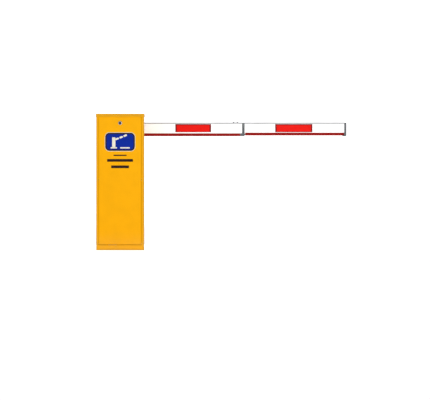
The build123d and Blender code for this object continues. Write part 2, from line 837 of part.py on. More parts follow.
# Motor cable: straight out of the junction box, then down into the controller box
cable_radius = 3.5
cable_y = (box_back + box_front) / 2
cable_bend = 16.0
cable_points = [
    (worm_x, junction_back, cable_start_z),
    (worm_x, cable_y - cable_bend, cable_start_z),
    (worm_x, cable_y, cable_start_z - cable_bend),
    (worm_x, cable_y, box_high),
]
cable_bend_radius = 24.0
with BuildPart() as motor_cable:
    with BuildLine():
        route = FilletPolyline(*cable_points, radius=cable_bend_radius)
    with BuildSketch(Plane(origin=cable_points[0], z_dir=(0, 1, 0))):
        Circle(cable_radius)
    sweep(path=route)
write_piece(motor_cable.part, "motor_cable")

rail_z = 90.0
block_x = -45.0
block_depth = 34.0
terminal_count = 12
terminal_pitch = 9.0
wire_hole_depth = 8.0
with BuildPart() as terminal_block:
    with BuildSketch(across(box_back)):
        with Locations((block_x, rail_z)):
            Rectangle(terminal_count * terminal_pitch, 44)
    extrude(amount=block_depth)
    with BuildSketch(across(box_back - block_depth + wire_hole_depth)):
        with Locations((block_x, rail_z)):
            with GridLocations(terminal_pitch, 28, terminal_count, 2):
                Circle(2.5)
    extrude(amount=wire_hole_depth, mode=Mode.SUBTRACT)
write_piece(terminal_block.part, "terminal_block")

breaker_x = 40.0
breaker_width = 36.0
toggle_y = box_back - 52
toggle_radius = 7.0
toggle_slot = 12.0
with BuildPart() as circuit_breaker:
    with BuildSketch(Plane.YZ.offset(breaker_x - breaker_width / 2)):
        with Locations((box_back - 22, rail_z)):
            Rectangle(44, 80)
        with Locations((box_back - 40, rail_z)):
            Rectangle(24, 45)
        with Locations((toggle_y, rail_z)):
            Circle(toggle_radius + 0.3, mode=Mode.SUBTRACT)
    extrude(amount=breaker_width)
    # Solid again on both sides of the toggle
    for start in (breaker_x - breaker_width / 2, breaker_x + toggle_slot / 2):
        with BuildSketch(Plane.YZ.offset(start)):
            with Locations((toggle_y, rail_z)):
                Circle(toggle_radius + 0.3)
        extrude(amount=(breaker_width - toggle_slot) / 2)
write_piece(circuit_breaker.part, "circuit_breaker")

toggle_thickness = toggle_slot - 0.6
with BuildPart() as breaker_toggle:
    with BuildSketch(Plane.YZ.offset(breaker_x - toggle_thickness / 2)):
        with Locations((toggle_y, rail_z)):
            Circle(toggle_radius)
        with Locations(Location((toggle_y - 9, rail_z - 9), 45)):
            Rectangle(18, 5)
    extrude(amount=toggle_thickness)
write_piece(breaker_toggle.part, "breaker_toggle")

# ---------------------------------------------------------------- arm mounting

stud_radius = 8.0
rod_front = rod_y - rod_half_thickness
rod_back_face = rod_y + rod_half_thickness
with BuildPart() as fold_anchor_stud:
    with BuildSketch(across(rod_front - 1)):
        with Locations((-rod_offset, stud_z)):
            Circle(stud_radius)
    extrude(amount=rod_front - 1 - half_depth)
    with BuildSketch(across(half_depth + 6)):
        with Locations((-rod_offset, stud_z)):
            Circle(16)
    extrude(amount=6)
    with BuildSketch(across(rod_back_face + 3)):
        with Locations((-rod_offset, stud_z)):
            Circle(stub_radius)
    extrude(amount=rod_back_face + 3 - rear_plate_front)
    with BuildSketch(across(rod_back_face + 4)):
        with Locations((-rod_offset, stud_z)):
            Circle(stud_radius)
    extrude(amount=3)
write_piece(fold_anchor_stud.part, "fold_anchor_stud")

hub_front = 158.0
neck_thickness = 8.0
neck_front = arm_front - neck_thickness
neck_half = 27.0
clamp_left = 90.0
clamp_right = 165.0
clamp_low = 841.0
clamp_high = 954.0
clamp_places = [(105, 849), (150, 849), (105, 945.5), (150, 945.5)]
clamp_hole_radius = 5.2
hub_radius = 34.0
with BuildPart() as boom_hub:
    with BuildSketch(across(arm_front)):
        with Locations((0, shaft_z)):
            Circle(hub_radius)
        with BuildLine():
            Polyline(
                (0, shaft_z - neck_half),
                (clamp_right, shaft_z - neck_half),
                (clamp_right, clamp_high),
                (clamp_left - 15, clamp_high),
                (46, shaft_z + neck_half),
                (0, shaft_z + neck_half),
                close=True,
            )
        make_face()
        with Locations(*clamp_places):
            Circle(clamp_hole_radius, mode=Mode.SUBTRACT)
    extrude(amount=neck_thickness)
    with BuildSketch(across(neck_front)):
        with Locations((0, shaft_z)):
            Circle(hub_radius)
    extrude(amount=neck_front - hub_front)
    with BuildSketch(across(arm_front)):
        with Locations((0, shaft_z)):
            Circle(shaft_radius)
    extrude(amount=arm_front - hub_front, mode=Mode.SUBTRACT)
write_piece(boom_hub.part, "boom_hub")

washer_radius = 23.0
washer_thickness = 4.0
end_bolt_radius = 11.0
end_bolt_height = 8.0
with BuildPart() as shaft_end_bolt:
    with BuildSketch(across(arm_front + washer_thickness)):
        with Locations((0, shaft_z)):
            Circle(washer_radius)
    extrude(amount=washer_thickness)
    with BuildSketch(across(arm_front + washer_thickness + end_bolt_height)):
        with Locations((0, shaft_z)):
            RegularPolygon(end_bolt_radius, 6)
    extrude(amount=end_bolt_height)
write_piece(shaft_end_bolt.part, "shaft_end_bolt")

clamp_thickness = 6.0
clamp_back = arm_back + clamp_thickness
with BuildPart() as boom_clamp:
    with BuildSketch(across(clamp_back)):
        with Locations(((clamp_left + clamp_right) / 2, (clamp_low + clamp_high) / 2)):
            RectangleRounded(clamp_right - clamp_left, clamp_high - clamp_low, 6)
        with Locations(*clamp_places):
            Circle(clamp_hole_radius, mode=Mode.SUBTRACT)
    extrude(amount=clamp_thickness)
write_piece(boom_clamp.part, "boom_clamp")

clamp_head_height = 6.4
with BuildPart() as clamp_bolts:
    with BuildSketch(across(clamp_back + clamp_head_height)):
        with Locations(*clamp_places):
            RegularPolygon(nut_radius, 6)
    extrude(amount=clamp_head_height)
    with BuildSketch(across(clamp_back)):
        with Locations(*clamp_places):
            Circle(bolt_radius)
    extrude(amount=clamp_back - neck_front + nut_height + 2)
    with BuildSketch(across(neck_front)):
        with Locations(*clamp_places):
            RegularPolygon(nut_radius, 6)
    extrude(amount=nut_height)
write_piece(clamp_bolts.part, "clamp_bolts")

# ---------------------------------------------------------------- arm sections


def arm_profile(low, high, inset=0.0, mode=Mode.ADD):
    """Outline of an arm section in a YZ sketch, its upper edges cut at 45 degrees; inset shrinks it all round."""
    half = arm_thickness / 2 - inset
    top, foot = high - inset, low + inset
    top_cut = arm_top_cut - inset * 0.6
    foot_cut = arm_foot_cut
    right = [(half - foot_cut, foot), (half, foot + foot_cut), (half, top - top_cut), (half - top_cut, top)]
    left = [(-y, z) for y, z in reversed(right)]
    with Locations((arm_mid, 0)):
        Polygon(*right, *left, align=None, mode=mode)


notch_length = 16.0
slot_mid_y = (cheek_front[1] + cheek_back[0]) / 2
slot_width = cheek_back[0] - cheek_front[1]
with BuildPart() as main_boom:
    with BuildSketch(Plane.YZ.offset(main_start)):
        arm_profile(main_bottom, arm_top)
        arm_profile(main_bottom, arm_top, arm_wall, Mode.SUBTRACT)
    extrude(amount=main_end - main_start)
    # Notch in the floor of the open end, for the fold lever
    with BuildSketch(Plane.XY.offset(main_bottom)):
        with Locations((main_end - notch_length / 2, slot_mid_y)):
            Rectangle(notch_length, slot_width)
    extrude(amount=arm_wall, mode=Mode.SUBTRACT)
write_piece(main_boom.part, "main_boom")

outer_start = 2 * fold_x - main_end + 1
with BuildPart() as outer_boom:
    with BuildSketch(Plane.YZ.offset(outer_start)):
        arm_profile(outer_bottom, arm_top)
        arm_profile(outer_bottom, arm_top, arm_wall, Mode.SUBTRACT)
    extrude(amount=outer_end - outer_start)
write_piece(outer_boom.part, "outer_boom")


strip_half_width = 13.0
strip_wall = 3.0


def rubber_strip(start, end, top, height):
    """Hollow D-shaped rubber edge under an arm section."""
    left, right = arm_mid - strip_half_width, arm_mid + strip_half_width
    shoulder = top - 6
    with BuildPart() as strip:
        with BuildSketch(Plane.YZ.offset(start)):
            with BuildLine():
                l1 = Polyline((left, shoulder), (left, top), (right, top), (right, shoulder))
                ThreePointArc(l1 @ 1, (arm_mid, top - height), l1 @ 0)
            make_face()
            offset(amount=-strip_wall, mode=Mode.SUBTRACT)
        extrude(amount=end - start)
    return strip.part


strip_clear = 13.4
knuckle_web = 20.0
main_strip_end = fold_x - knuckle_web - joint_gap
outer_strip_start = fold_x + strip_clear
write_piece(rubber_strip(strip_start, main_strip_end, main_bottom, strip_height), "main_rubber_strip")
write_piece(rubber_strip(outer_strip_start, outer_end - joint_gap, outer_bottom, strip_height), "outer_rubber_strip")


def reflective_tape(span):
    """Two bands of reflective tape, one on each face of an arm section."""
    with BuildPart() as tape:
        for back in (arm_front, arm_back + tape_thickness):
            with BuildSketch(across(back)):
                with Locations(((span[0] + span[1]) / 2, (tape_low + tape_high) / 2)):
                    Rectangle(span[1] - span[0], tape_high - tape_low)
            extrude(amount=tape_thickness)
    return tape.part


write_piece(reflective_tape(main_tape_span), "main_tape")
write_piece(reflective_tape(outer_tape_span), "outer_tape")

cap_foot = 838.0
tip_plug = 30.0
lip_height = 4.6
lip_length = 13.0
with BuildPart() as boom_tip_cap:
    with BuildSketch(Plane.YZ.offset(outer_end)):
        with Locations((arm_mid, (cap_foot + arm_top + 1) / 2)):
            RectangleRounded(arm_thickness + 2, arm_top + 1 - cap_foot, 7)
    extrude(amount=tip_thickness)
    fillet(boom_tip_cap.edges().group_by(Axis.X)[-1], 4)
    # Plug inside the section, and a lip under the rubber edge
    with BuildSketch(Plane.YZ.offset(outer_end - tip_plug)):
        arm_profile(outer_bottom, arm_top, arm_wall + 0.1)
    extrude(amount=tip_plug)
    with BuildSketch(Plane.YZ.offset(outer_end - lip_length)):
        with Locations((arm_mid, cap_foot + lip_height / 2)):
            RectangleRounded(30, lip_height, 2)
    extrude(amount=lip_length)
write_piece(boom_tip_cap.part, "boom_tip_cap")

# ---------------------------------------------------------------- fold joint

cap_low = fold_z + knuckle_radius + 1
cap_high = arm_top + 1
slot_high = cap_high - 7
tongue_length = 72.0
with BuildPart() as main_end_cap:
    # Two cheeks with round hinge knuckles at the foot
    for low_y, high_y in (cheek_front, cheek_back):
        with BuildSketch(across(high_y)):
            with Locations((fold_x, fold_z)):
                Circle(knuckle_radius)
            with BuildLine():
                Polyline(
                    (main_end, cap_high),
                    (main_end, main_bottom),
                    (fold_x - knuckle_web, main_bottom),
                    (fold_x - knuckle_web, fold_z - knuckle_radius),
                    (fold_x, fold_z - knuckle_radius),
                    (fold_x, cap_low - 1),
                    (fold_x - joint_gap, cap_low - 1),
                    (fold_x - joint_gap, cap_high),
                    close=True,
                )
            make_face()
            with Locations((main_end - 5, main_bottom + 5)):
                Rectangle(10, 10, mode=Mode.SUBTRACT)
            with Locations((fold_x, fold_z)):
                Circle(fold_pin_radius + running_gap, mode=Mode.SUBTRACT)
        extrude(amount=high_y - low_y)
    # Bridge over the slot, and the tongue inside the section
    with BuildSketch(Plane.YZ.offset(main_end)):
        with Locations((arm_mid, (slot_high + cap_high) / 2)):
            Rectangle(arm_thickness, cap_high - slot_high)
    extrude(amount=fold_x - joint_gap - main_end)
    with BuildSketch(Plane.YZ.offset(main_end - tongue_length)):
        arm_profile(main_bottom, arm_top, arm_wall + 0.1)
        with Locations((slot_mid_y, (main_bottom + slot_high - 6) / 2)):
            Rectangle(slot_width, slot_high - 6 - main_bottom, mode=Mode.SUBTRACT)
    extrude(amount=tongue_length)
    # Block below the section that stiffens the knuckles
    with BuildSketch(Plane.YZ.offset(fold_x - knuckle_web)):
        with Locations((arm_mid, (fold_z - knuckle_radius + main_bottom) / 2)):
            Rectangle(arm_thickness, main_bottom - fold_z + knuckle_radius)
    extrude(amount=knuckle_web - knuckle_radius - 1)
write_piece(main_end_cap.part, "main_end_cap")

lever_plate_front = rod_back_face + 1.5
outer_knuckle = (cheek_front[1] + 0.5, cheek_back[0] - 0.5)
plug_length = 40.0
with BuildPart() as outer_end_cap:
    with BuildSketch(across(outer_knuckle[1])):
        with Locations((fold_x, fold_z)):
            Circle(knuckle_radius)
        with Locations(((fold_x + outer_start) / 2 + joint_gap, fold_z + knuckle_radius / 2)):
            Rectangle(outer_start - fold_x - 2 * joint_gap, knuckle_radius + 4)
        with Locations((fold_x, fold_z)):
            Circle(fold_pin_radius + running_gap, mode=Mode.SUBTRACT)
    extrude(amount=outer_knuckle[1] - outer_knuckle[0])
    # End plate and the plug inside the outer section
    with BuildSketch(Plane.YZ.offset(fold_x + joint_gap)):
        with Locations((arm_mid, (cap_low + cap_high) / 2)):
            RectangleRounded(arm_thickness, cap_high - cap_low, 3)
    extrude(amount=outer_start - fold_x - joint_gap)
    with BuildSketch(Plane.YZ.offset(outer_start)):
        arm_profile(outer_bottom, arm_top, arm_wall + 0.1)
        arm_profile(outer_bottom, arm_top, 3 * arm_wall, Mode.SUBTRACT)
    extrude(amount=plug_length)
    # Lever that the fold rod holds
    with BuildSketch(across(outer_knuckle[1])):
        with BuildLine():
            Polyline(
                (fold_x + 5, cap_low),
                (fold_x + 5, fold_z + 50),
                (fold_arm_x, fold_arm_z + 9),
                (fold_arm_x - 9, fold_arm_z),
                (fold_x - 9, fold_z + 5),
                close=True,
            )
        make_face()
        with Locations((fold_x, fold_z)):
            Circle(fold_pin_radius + running_gap, mode=Mode.SUBTRACT)
    extrude(amount=outer_knuckle[1] - lever_plate_front)
    with BuildSketch(across(lever_plate_front)):
        with Locations((fold_arm_x, fold_arm_z)):
            Circle(fold_pin_radius)
    extrude(amount=2 * rod_half_thickness + 3)
write_piece(outer_end_cap.part, "outer_end_cap")

pin_head_radius = 8.0
pin_head_height = 3.0
with BuildPart() as fold_hinge_pin:
    with BuildSketch(across(arm_back + 2)):
        with Locations((fold_x, fold_z)):
            Circle(fold_pin_radius)
    extrude(amount=arm_thickness + 4)
    for back in (arm_front, arm_back + pin_head_height):
        with BuildSketch(across(back)):
            with Locations((fold_x, fold_z)):
                Circle(pin_head_radius)
        extrude(amount=pin_head_height)
write_piece(fold_hinge_pin.part, "fold_hinge_pin")

joint_screw_places = [(832, arm_mid), (861, arm_mid)]
with BuildPart() as joint_screws:
    with BuildSketch(Plane.XY.offset(arm_top)):
        with Locations(*joint_screw_places):
            Circle(6)
    extrude(amount=4)
    fillet(joint_screws.edges().group_by(Axis.Z)[-1], 1.5)
write_piece(joint_screws.part, "joint_screws")

rod_start = Vector(-rod_offset, rod_y, stud_z)
rod_finish = Vector(fold_arm_x, rod_y, fold_arm_z)
rod_direction = (rod_finish - rod_start).normalized()
rod_length = (rod_finish - rod_start).length
rod_eye_radius = 9.5
rod_inset = 8.0
with BuildPart() as fold_rod:
    with BuildSketch(Plane(origin=rod_start + rod_direction * rod_inset, z_dir=rod_direction)):
        Circle(rod_half_thickness)
    extrude(amount=rod_length - 2 * rod_inset)
    for end_x, end_z, hole in (
        (rod_start.X, rod_start.Z, stub_radius + running_gap),
        (rod_finish.X, rod_finish.Z, fold_pin_radius + pivot_clearance),
    ):
        with BuildSketch(across(rod_back_face)):
            with Locations((end_x, end_z)):
                Circle(rod_eye_radius)
        extrude(amount=2 * rod_half_thickness)
        with BuildSketch(across(rod_back_face + 1)):
            with Locations((end_x, end_z)):
                Circle(hole)
        extrude(amount=2 * rod_half_thickness + 2, mode=Mode.SUBTRACT)
write_piece(fold_rod.part, "fold_rod")
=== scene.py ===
import json
from math import cos, pi, radians, sin

import bmesh
import bpy
from mathutils import Matrix, Vector


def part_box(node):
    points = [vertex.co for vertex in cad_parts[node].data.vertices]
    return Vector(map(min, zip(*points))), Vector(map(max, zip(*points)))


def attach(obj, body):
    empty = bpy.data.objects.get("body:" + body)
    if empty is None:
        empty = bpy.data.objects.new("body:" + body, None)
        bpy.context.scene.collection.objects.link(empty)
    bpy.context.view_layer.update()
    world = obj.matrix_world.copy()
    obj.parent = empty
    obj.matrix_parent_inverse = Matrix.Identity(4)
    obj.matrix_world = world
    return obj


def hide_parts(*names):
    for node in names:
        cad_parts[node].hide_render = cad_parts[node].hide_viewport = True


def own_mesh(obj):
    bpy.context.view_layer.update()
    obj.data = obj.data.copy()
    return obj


# Looks of a parking barrier gate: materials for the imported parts, fine detail, camera and light.
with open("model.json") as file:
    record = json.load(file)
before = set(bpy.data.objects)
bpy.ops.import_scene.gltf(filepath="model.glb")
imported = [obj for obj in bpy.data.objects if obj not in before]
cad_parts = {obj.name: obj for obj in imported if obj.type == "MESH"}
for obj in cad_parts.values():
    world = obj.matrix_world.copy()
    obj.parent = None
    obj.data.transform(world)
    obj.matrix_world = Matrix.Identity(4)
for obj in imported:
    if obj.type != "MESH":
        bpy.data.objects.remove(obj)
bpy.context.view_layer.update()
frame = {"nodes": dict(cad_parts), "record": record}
nodes = frame["nodes"]
scene = bpy.context.scene
scene.view_settings.view_transform = "Standard"

# ---------------------------------------------------------------- camera

VIEW_WIDTH = 3.156
VIEW_CENTRE = (0.695, 0.368)
CAMERA_DISTANCE = 60.0
SENSOR_WIDTH = 36.0
FARTHEST_SEEN = 200.0

camera_data = bpy.data.cameras.new("camera")
camera_data.sensor_width = SENSOR_WIDTH
camera_data.lens = SENSOR_WIDTH * CAMERA_DISTANCE / VIEW_WIDTH
camera_data.clip_end = FARTHEST_SEEN
camera = bpy.data.objects.new("camera", camera_data)
camera.location = (VIEW_CENTRE[0], -CAMERA_DISTANCE, VIEW_CENTRE[1])
camera.rotation_euler = (radians(90), 0, 0)
scene.collection.objects.link(camera)
scene.camera = camera

# ---------------------------------------------------------------- material helpers

NOISE_ROUGHNESS = 0.55
# Socket numbers of the colour Mix node
MIX_FACTOR, MIX_FIRST, MIX_SECOND, MIX_RESULT = 0, 6, 7, 2


class Shader:
    """A node material with one Principled shader, built up by short calls."""

    def __init__(self, name, roughness, metallic=0.0):
        self.material = bpy.data.materials.new(name)
        self.material.use_nodes = True
        self.tree = self.material.node_tree
        self.shader = self.tree.nodes["Principled BSDF"]
        self.shader.inputs["Roughness"].default_value = roughness
        self.shader.inputs["Metallic"].default_value = metallic
        self.coords = self.tree.nodes.new("ShaderNodeTexCoord").outputs["Object"]

    def node(self, kind, **values):
        made = self.tree.nodes.new(kind)
        for key, value in values.items():
            if hasattr(made, key):
                setattr(made, key, value)
            else:
                made.inputs[key].default_value = value
        return made

    def link(self, source, target):
        self.tree.links.new(source, target)

    def noise(self, scale, detail, stretch=(1, 1, 1)):
        """Noise in metres of the object, stretched along an axis where asked: its 0-1 output."""
        mapping = self.node("ShaderNodeMapping")
        mapping.inputs["Scale"].default_value = stretch
        self.link(self.coords, mapping.inputs["Vector"])
        made = self.node(
            "ShaderNodeTexNoise", Scale=scale, Detail=detail, Roughness=NOISE_ROUGHNESS
        )
        self.link(mapping.outputs["Vector"], made.inputs["Vector"])
        return made.outputs["Fac"]

    def ramp(self, factor, *stops):
        """Colour ramp: each stop is (position, grey level or RGB)."""
        made = self.node("ShaderNodeValToRGB")
        ramp = made.color_ramp
        while len(ramp.elements) < len(stops):
            ramp.elements.new(0.5)
        for element, (place, colour) in zip(ramp.elements, stops):
            element.position = place
            rgb = (colour,) * 3 if isinstance(colour, (int, float)) else colour
            element.color = (*rgb, 1.0)
        self.link(factor, made.inputs["Fac"])
        return made.outputs["Color"]

    def mix(self, factor, first, rgb):
        """Blend from a first colour socket to a plain colour by a factor socket."""
        made = self.node("ShaderNodeMix", data_type="RGBA")
        self.link(factor, made.inputs[MIX_FACTOR])
        self.link(first, made.inputs[MIX_FIRST])
        made.inputs[MIX_SECOND].default_value = (*rgb, 1.0)
        return made.outputs[MIX_RESULT]

    def maths(self, operation, first, second=0.0):
        """One step of arithmetic on sockets or numbers."""
        made = self.node("ShaderNodeMath", operation=operation)
        for socket, value in zip(made.inputs, (first, second)):
            if isinstance(value, bpy.types.NodeSocket):
                self.link(value, socket)
            else:
                socket.default_value = value
        return made.outputs[0]

    def axis(self, name):
        """The object's X, Y or Z coordinate."""
        made = self.node("ShaderNodeSeparateXYZ")
        self.link(self.coords, made.inputs[0])
        return made.outputs[name]

    def bump(self, height, strength, distance):
        made = self.node("ShaderNodeBump", Strength=strength, Distance=distance)
        self.link(height, made.inputs["Height"])
        self.link(made.outputs["Normal"], self.shader.inputs["Normal"])

    def colour(self, socket):
        self.link(socket, self.shader.inputs["Base Color"])

    def rough(self, socket):
        self.link(socket, self.shader.inputs["Roughness"])

    def specular(self, level):
        self.shader.inputs["Specular IOR Level"].default_value = level

    def glow(self, strength):
        self.shader.inputs["Emission Color"].default_value = (1.0, 1.0, 1.0, 1.0)
        self.shader.inputs["Emission Strength"].default_value = strength

    def ramp_along(self, socket, start, end):
        """Smoothly 0 to 1 as a coordinate goes from start to end."""
        made = self.node("ShaderNodeMapRange", interpolation_type="SMOOTHSTEP")
        self.link(socket, made.inputs["Value"])
        made.inputs["From Min"].default_value = start
        made.inputs["From Max"].default_value = end
        return made.outputs["Result"]


def shade(rgb, factor):
    """A colour made lighter or darker."""
    return tuple(min(1.0, c * factor) for c in rgb)


# Heights of the road dust and of the bands of painted shade on the cover's rim and the cabinet's foot
DUST_HEIGHT = 0.16
RIM_START, RIM_END = (0.975, 0.984), (0.9995, 0.997)
FOOT_BAND = (0.016, 0.006)
ROAD_DUST = (0.32, 0.27, 0.2)
PAINTED_EDGE_SHADE = (0.30, 0.20, 0.03)


def powder_coat(name, rgb, roughness=0.42, dust=0.07, corner=None):
    """Baked powder coat: orange peel, faint mottling, road dust near the ground, painted shade on
    edges.
    """
    s = Shader(name, roughness)
    mottle = s.ramp(s.noise(9.0, 3.0), (0.35, shade(rgb, 0.97)), (0.65, shade(rgb, 1.02)))
    up = s.axis("Z")
    low = s.ramp_along(up, DUST_HEIGHT, 0.0)
    patch = s.maths("MULTIPLY", low, s.maths("MULTIPLY", s.noise(28.0, 6.0), 2 * dust))
    paint = s.mix(patch, mottle, ROAD_DUST)
    # Painted shade: darker bands down the vertical corners, round the cover's rim and along the foot
    if corner:
        x, y = [s.maths("ABSOLUTE", s.axis(key)) for key in ("X", "Y")]
        beside = s.ramp_along(x, corner[0] - 0.015, corner[0] - 0.004)
        before = s.ramp_along(y, corner[1] - 0.020, corner[1] - 0.004)
        rim = s.maths("MULTIPLY", s.ramp_along(up, *RIM_START), s.ramp_along(up, *RIM_END))
        edge = s.maths("MAXIMUM", s.maths("MULTIPLY", beside, before), rim)
        edge = s.maths("MAXIMUM", edge, s.ramp_along(up, *FOOT_BAND))
        edge = s.maths("MULTIPLY", edge, s.ramp(s.noise(40.0, 4.0), (0.3, 0.28), (0.7, 0.42)))
        paint = s.mix(edge, paint, PAINTED_EDGE_SHADE)
    s.colour(paint)
    s.rough(s.ramp(s.noise(30.0, 3.0), (0.3, roughness - 0.05), (0.7, roughness + 0.07)))
    s.bump(s.noise(900.0, 2.0), 0.12, 0.0004)
    s.specular(0.03)
    return s.material


def bare_metal(name, rgb, roughness, brushing=(1, 40, 1)):
    """Zinc or ground steel: soft spangle and fine directional scratches."""
    s = Shader(name, roughness, 1.0)
    s.colour(s.ramp(s.noise(60.0, 5.0), (0.3, shade(rgb, 0.85)), (0.7, shade(rgb, 1.08))))
    s.rough(s.ramp(s.noise(120.0, 4.0, brushing), (0.3, roughness - 0.1), (0.75, roughness + 0.12)))
    s.bump(s.noise(300.0, 3.0, brushing), 0.15, 0.0003)
    return s.material


def cast_metal(name, rgb, roughness=0.5):
    """Die-cast alloy, bare or painted: grainy skin."""
    s = Shader(name, roughness, 0.7)
    s.colour(s.ramp(s.noise(45.0, 5.0), (0.3, shade(rgb, 0.86)), (0.7, shade(rgb, 1.06))))
    s.bump(s.noise(700.0, 4.0), 0.3, 0.0004)
    return s.material


def moulded(name, rgb, roughness=0.5, grain=1400.0, grain_strength=0.18, gloss=0.25):
    """Moulded plastic or rubber: fine spark grain and slight bloom."""
    s = Shader(name, roughness)
    s.colour(s.ramp(s.noise(22.0, 5.0), (0.3, shade(rgb, 0.88)), (0.72, shade(rgb, 1.1))))
    s.rough(s.ramp(s.noise(60.0, 3.0), (0.3, roughness - 0.06), (0.7, roughness + 0.08)))
    s.bump(s.noise(grain, 2.0), grain_strength, 0.0004)
    s.specular(gloss)
    return s.material


def arm_paint():
    """White coated extrusion: long faint die lines, a little patchy grime and a faint painted glow.
    """
    s = Shader("arm_white", 0.32)
    lines = s.noise(60.0, 3.0, (0.02, 1, 8))
    base = s.ramp(lines, (0.3, (0.93, 0.93, 0.935)), (0.7, (0.965, 0.965, 0.965)))
    grime = s.maths("MULTIPLY", s.noise(14.0, 6.0, (0.4, 1, 1)), 0.05)
    s.colour(s.mix(grime, base, (0.5, 0.48, 0.44)))
    s.bump(s.noise(160.0, 2.0, (0.01, 1, 4)), 0.08, 0.0003)
    s.specular(0.35)
    # Painted light: a faint glow that keeps the arm white beside the orange cabinet
    s.glow(0.08)
    return s.material


def retroreflective():
    """Red reflective sheeting: a diamond lattice of tiny sealed cells under a clear skin."""
    s = Shader("tape_red", 0.25)
    cell, wall = 0.006, 0.12
    lattice = None
    for tilt in (1, -1):
        total = s.maths("ADD", s.axis("X"), s.maths("MULTIPLY", s.axis("Z"), tilt))
        wave = s.maths("PINGPONG", total, cell)
        edge = s.maths("LESS_THAN", wave, cell * wall)
        lattice = edge if lattice is None else s.maths("MAXIMUM", lattice, edge)
    red = s.ramp(s.noise(70.0, 4.0), (0.3, (0.76, 0.006, 0.003)), (0.7, (0.82, 0.009, 0.005)))
    s.colour(s.mix(lattice, red, (0.62, 0.009, 0.006)))
    s.bump(lattice, 0.12, 0.0002)
    s.specular(0.03)
    return s.material


CABINET_ORANGE = (0.82, 0.37, 0.002)
# Half width and half depth of the cabinet, where its corners get painted shade
CABINET_CORNER = (0.175, 0.149)
MATERIALS = {
    "cabinet_paint": powder_coat("cabinet_paint", CABINET_ORANGE, corner=CABINET_CORNER),
    "frame_paint": powder_coat("frame_paint", (0.035, 0.038, 0.042), 0.45, 0.0),
    "zinc_steel": bare_metal("zinc_steel", (0.46, 0.46, 0.445), 0.38, (1, 1, 20)),
    "ground_steel": bare_metal("ground_steel", (0.34, 0.345, 0.35), 0.34),
    "chrome": bare_metal("chrome", (0.34, 0.34, 0.36), 0.26, (1, 1, 1)),
    "cast_housing": cast_metal("cast_housing", (0.48, 0.49, 0.50)),
    "motor_paint": powder_coat("motor_paint", (0.012, 0.022, 0.045), 0.4, 0.0),
    "gear_bronze": bare_metal("gear_bronze", (0.6, 0.36, 0.12), 0.35),
    "spring_steel": bare_metal("spring_steel", (0.06, 0.06, 0.065), 0.4, (1, 1, 1)),
    "black_rubber": moulded("black_rubber", (0.018, 0.018, 0.019), 0.75),
    "red_rubber": moulded("red_rubber", (0.245, 0.0095, 0.0075), 0.62, gloss=0.05),
    "boom_white": arm_paint(),
    "tape_red": retroreflective(),
    "joint_grey": cast_metal("joint_grey", (0.104, 0.112, 0.120), 0.55),
    "cap_grey": moulded("cap_grey", (0.105, 0.113, 0.12), 0.5),
    "label_blue": moulded("label_blue", (0.0006, 0.018, 0.26), 0.4, 600.0, 0.05, 0.05),
    "box_grey": moulded("box_grey", (0.3, 0.31, 0.32)),
    "terminal_grey": moulded("terminal_grey", (0.12, 0.125, 0.13)),
    "breaker_white": moulded("breaker_white", (0.72, 0.72, 0.69), 0.4),
    "toggle_black": moulded("toggle_black", (0.015, 0.015, 0.016), 0.4),
}
MATERIALS["print_dark"] = moulded("print_dark", (0.022, 0.011, 0.008), 0.45, 500.0, 0.05, 0.05)
MATERIALS["print_cream"] = moulded("print_cream", (0.74, 0.70, 0.58), 0.4, 500.0, 0.05, 0.05)
MATERIALS["tape_edge"] = moulded("tape_edge", (0.22, 0.009, 0.010), 0.4, 800.0, 0.08, 0.03)
MATERIALS["weld_steel"] = bare_metal("weld_steel", (0.12, 0.115, 0.11), 0.5, (1, 1, 1))
MATERIALS["lamp_green"] = moulded("lamp_green", (0.03, 0.42, 0.09), 0.15, 500.0, 0.02)
# Each part gets the finish of its slot in the record
for row in frame["record"]["subparts"]:
    slots = nodes[row["node"]].data.materials
    slots.clear()
    slots.append(MATERIALS[row["material_slot"]])

# The key plug is darkened by use and by the shade of its recess
plug_steel = bare_metal("plug_steel", (0.035, 0.032, 0.028), 0.5, (1, 1, 1))
nodes["lock_plug"].data.materials[0] = plug_steel

# ---------------------------------------------------------------- mesh helpers

AXES = {"X": Vector((1, 0, 0)), "Y": Vector((0, 1, 0)), "Z": Vector((0, 0, 1))}
# Signs of the four corners of a square pattern
CORNERS = ((-1, -1), (-1, 1), (1, -1), (1, 1))
# Corner radius of a printed bar, as a share of its shorter side
BAR_CORNER = 0.22


def middle(node, axis):
    """Middle of a node's box along "x", "y" or "z"."""
    low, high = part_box(node)
    return (getattr(low, axis) + getattr(high, axis)) / 2


def facing(axis):
    """Rotation that turns +Z to an axis such as "X" or "-Y"."""
    direction = AXES[axis[-1]] * (-1 if axis[0] == "-" else 1)
    return direction.to_track_quat("Z", "Y").to_matrix().to_4x4()


def add_turned(bm, centre, axis, profile, segments=32):
    """A turned shape: profile is (radius, height) points from the foot to the top, along the axis."""
    place = Matrix.Translation(centre) @ facing(axis)
    rings = []
    for radius, height in profile:
        if radius == 0:
            rings.append([bm.verts.new(place @ Vector((0, 0, height)))])
            continue
        round_it = [(x, y, height) for x, y in polygon(radius, segments)]
        rings.append([bm.verts.new(place @ Vector(point)) for point in round_it])
    for low, high in zip(rings, rings[1:]):
        for i in range(segments):
            j = (i + 1) % segments
            if len(low) == 1:
                bm.faces.new((low[0], high[j], high[i]))
            elif len(high) == 1:
                bm.faces.new((low[i], low[j], high[0]))
            else:
                bm.faces.new((low[i], low[j], high[j], high[i]))


def add_block(bm, low, high, bevel):
    """A box between two corners with rounded edges."""
    low, high = Vector(low), Vector(high)
    made = bmesh.ops.create_cube(bm, size=1.0)["verts"]
    for vert in made:
        vert.co = Vector(low[k] + (vert.co[k] + 0.5) * (high[k] - low[k]) for k in range(3))
    edges = list({e for v in made for e in v.link_edges})
    bmesh.ops.bevel(bm, geom=edges, offset=bevel, segments=2, affect="EDGES", profile=0.6)


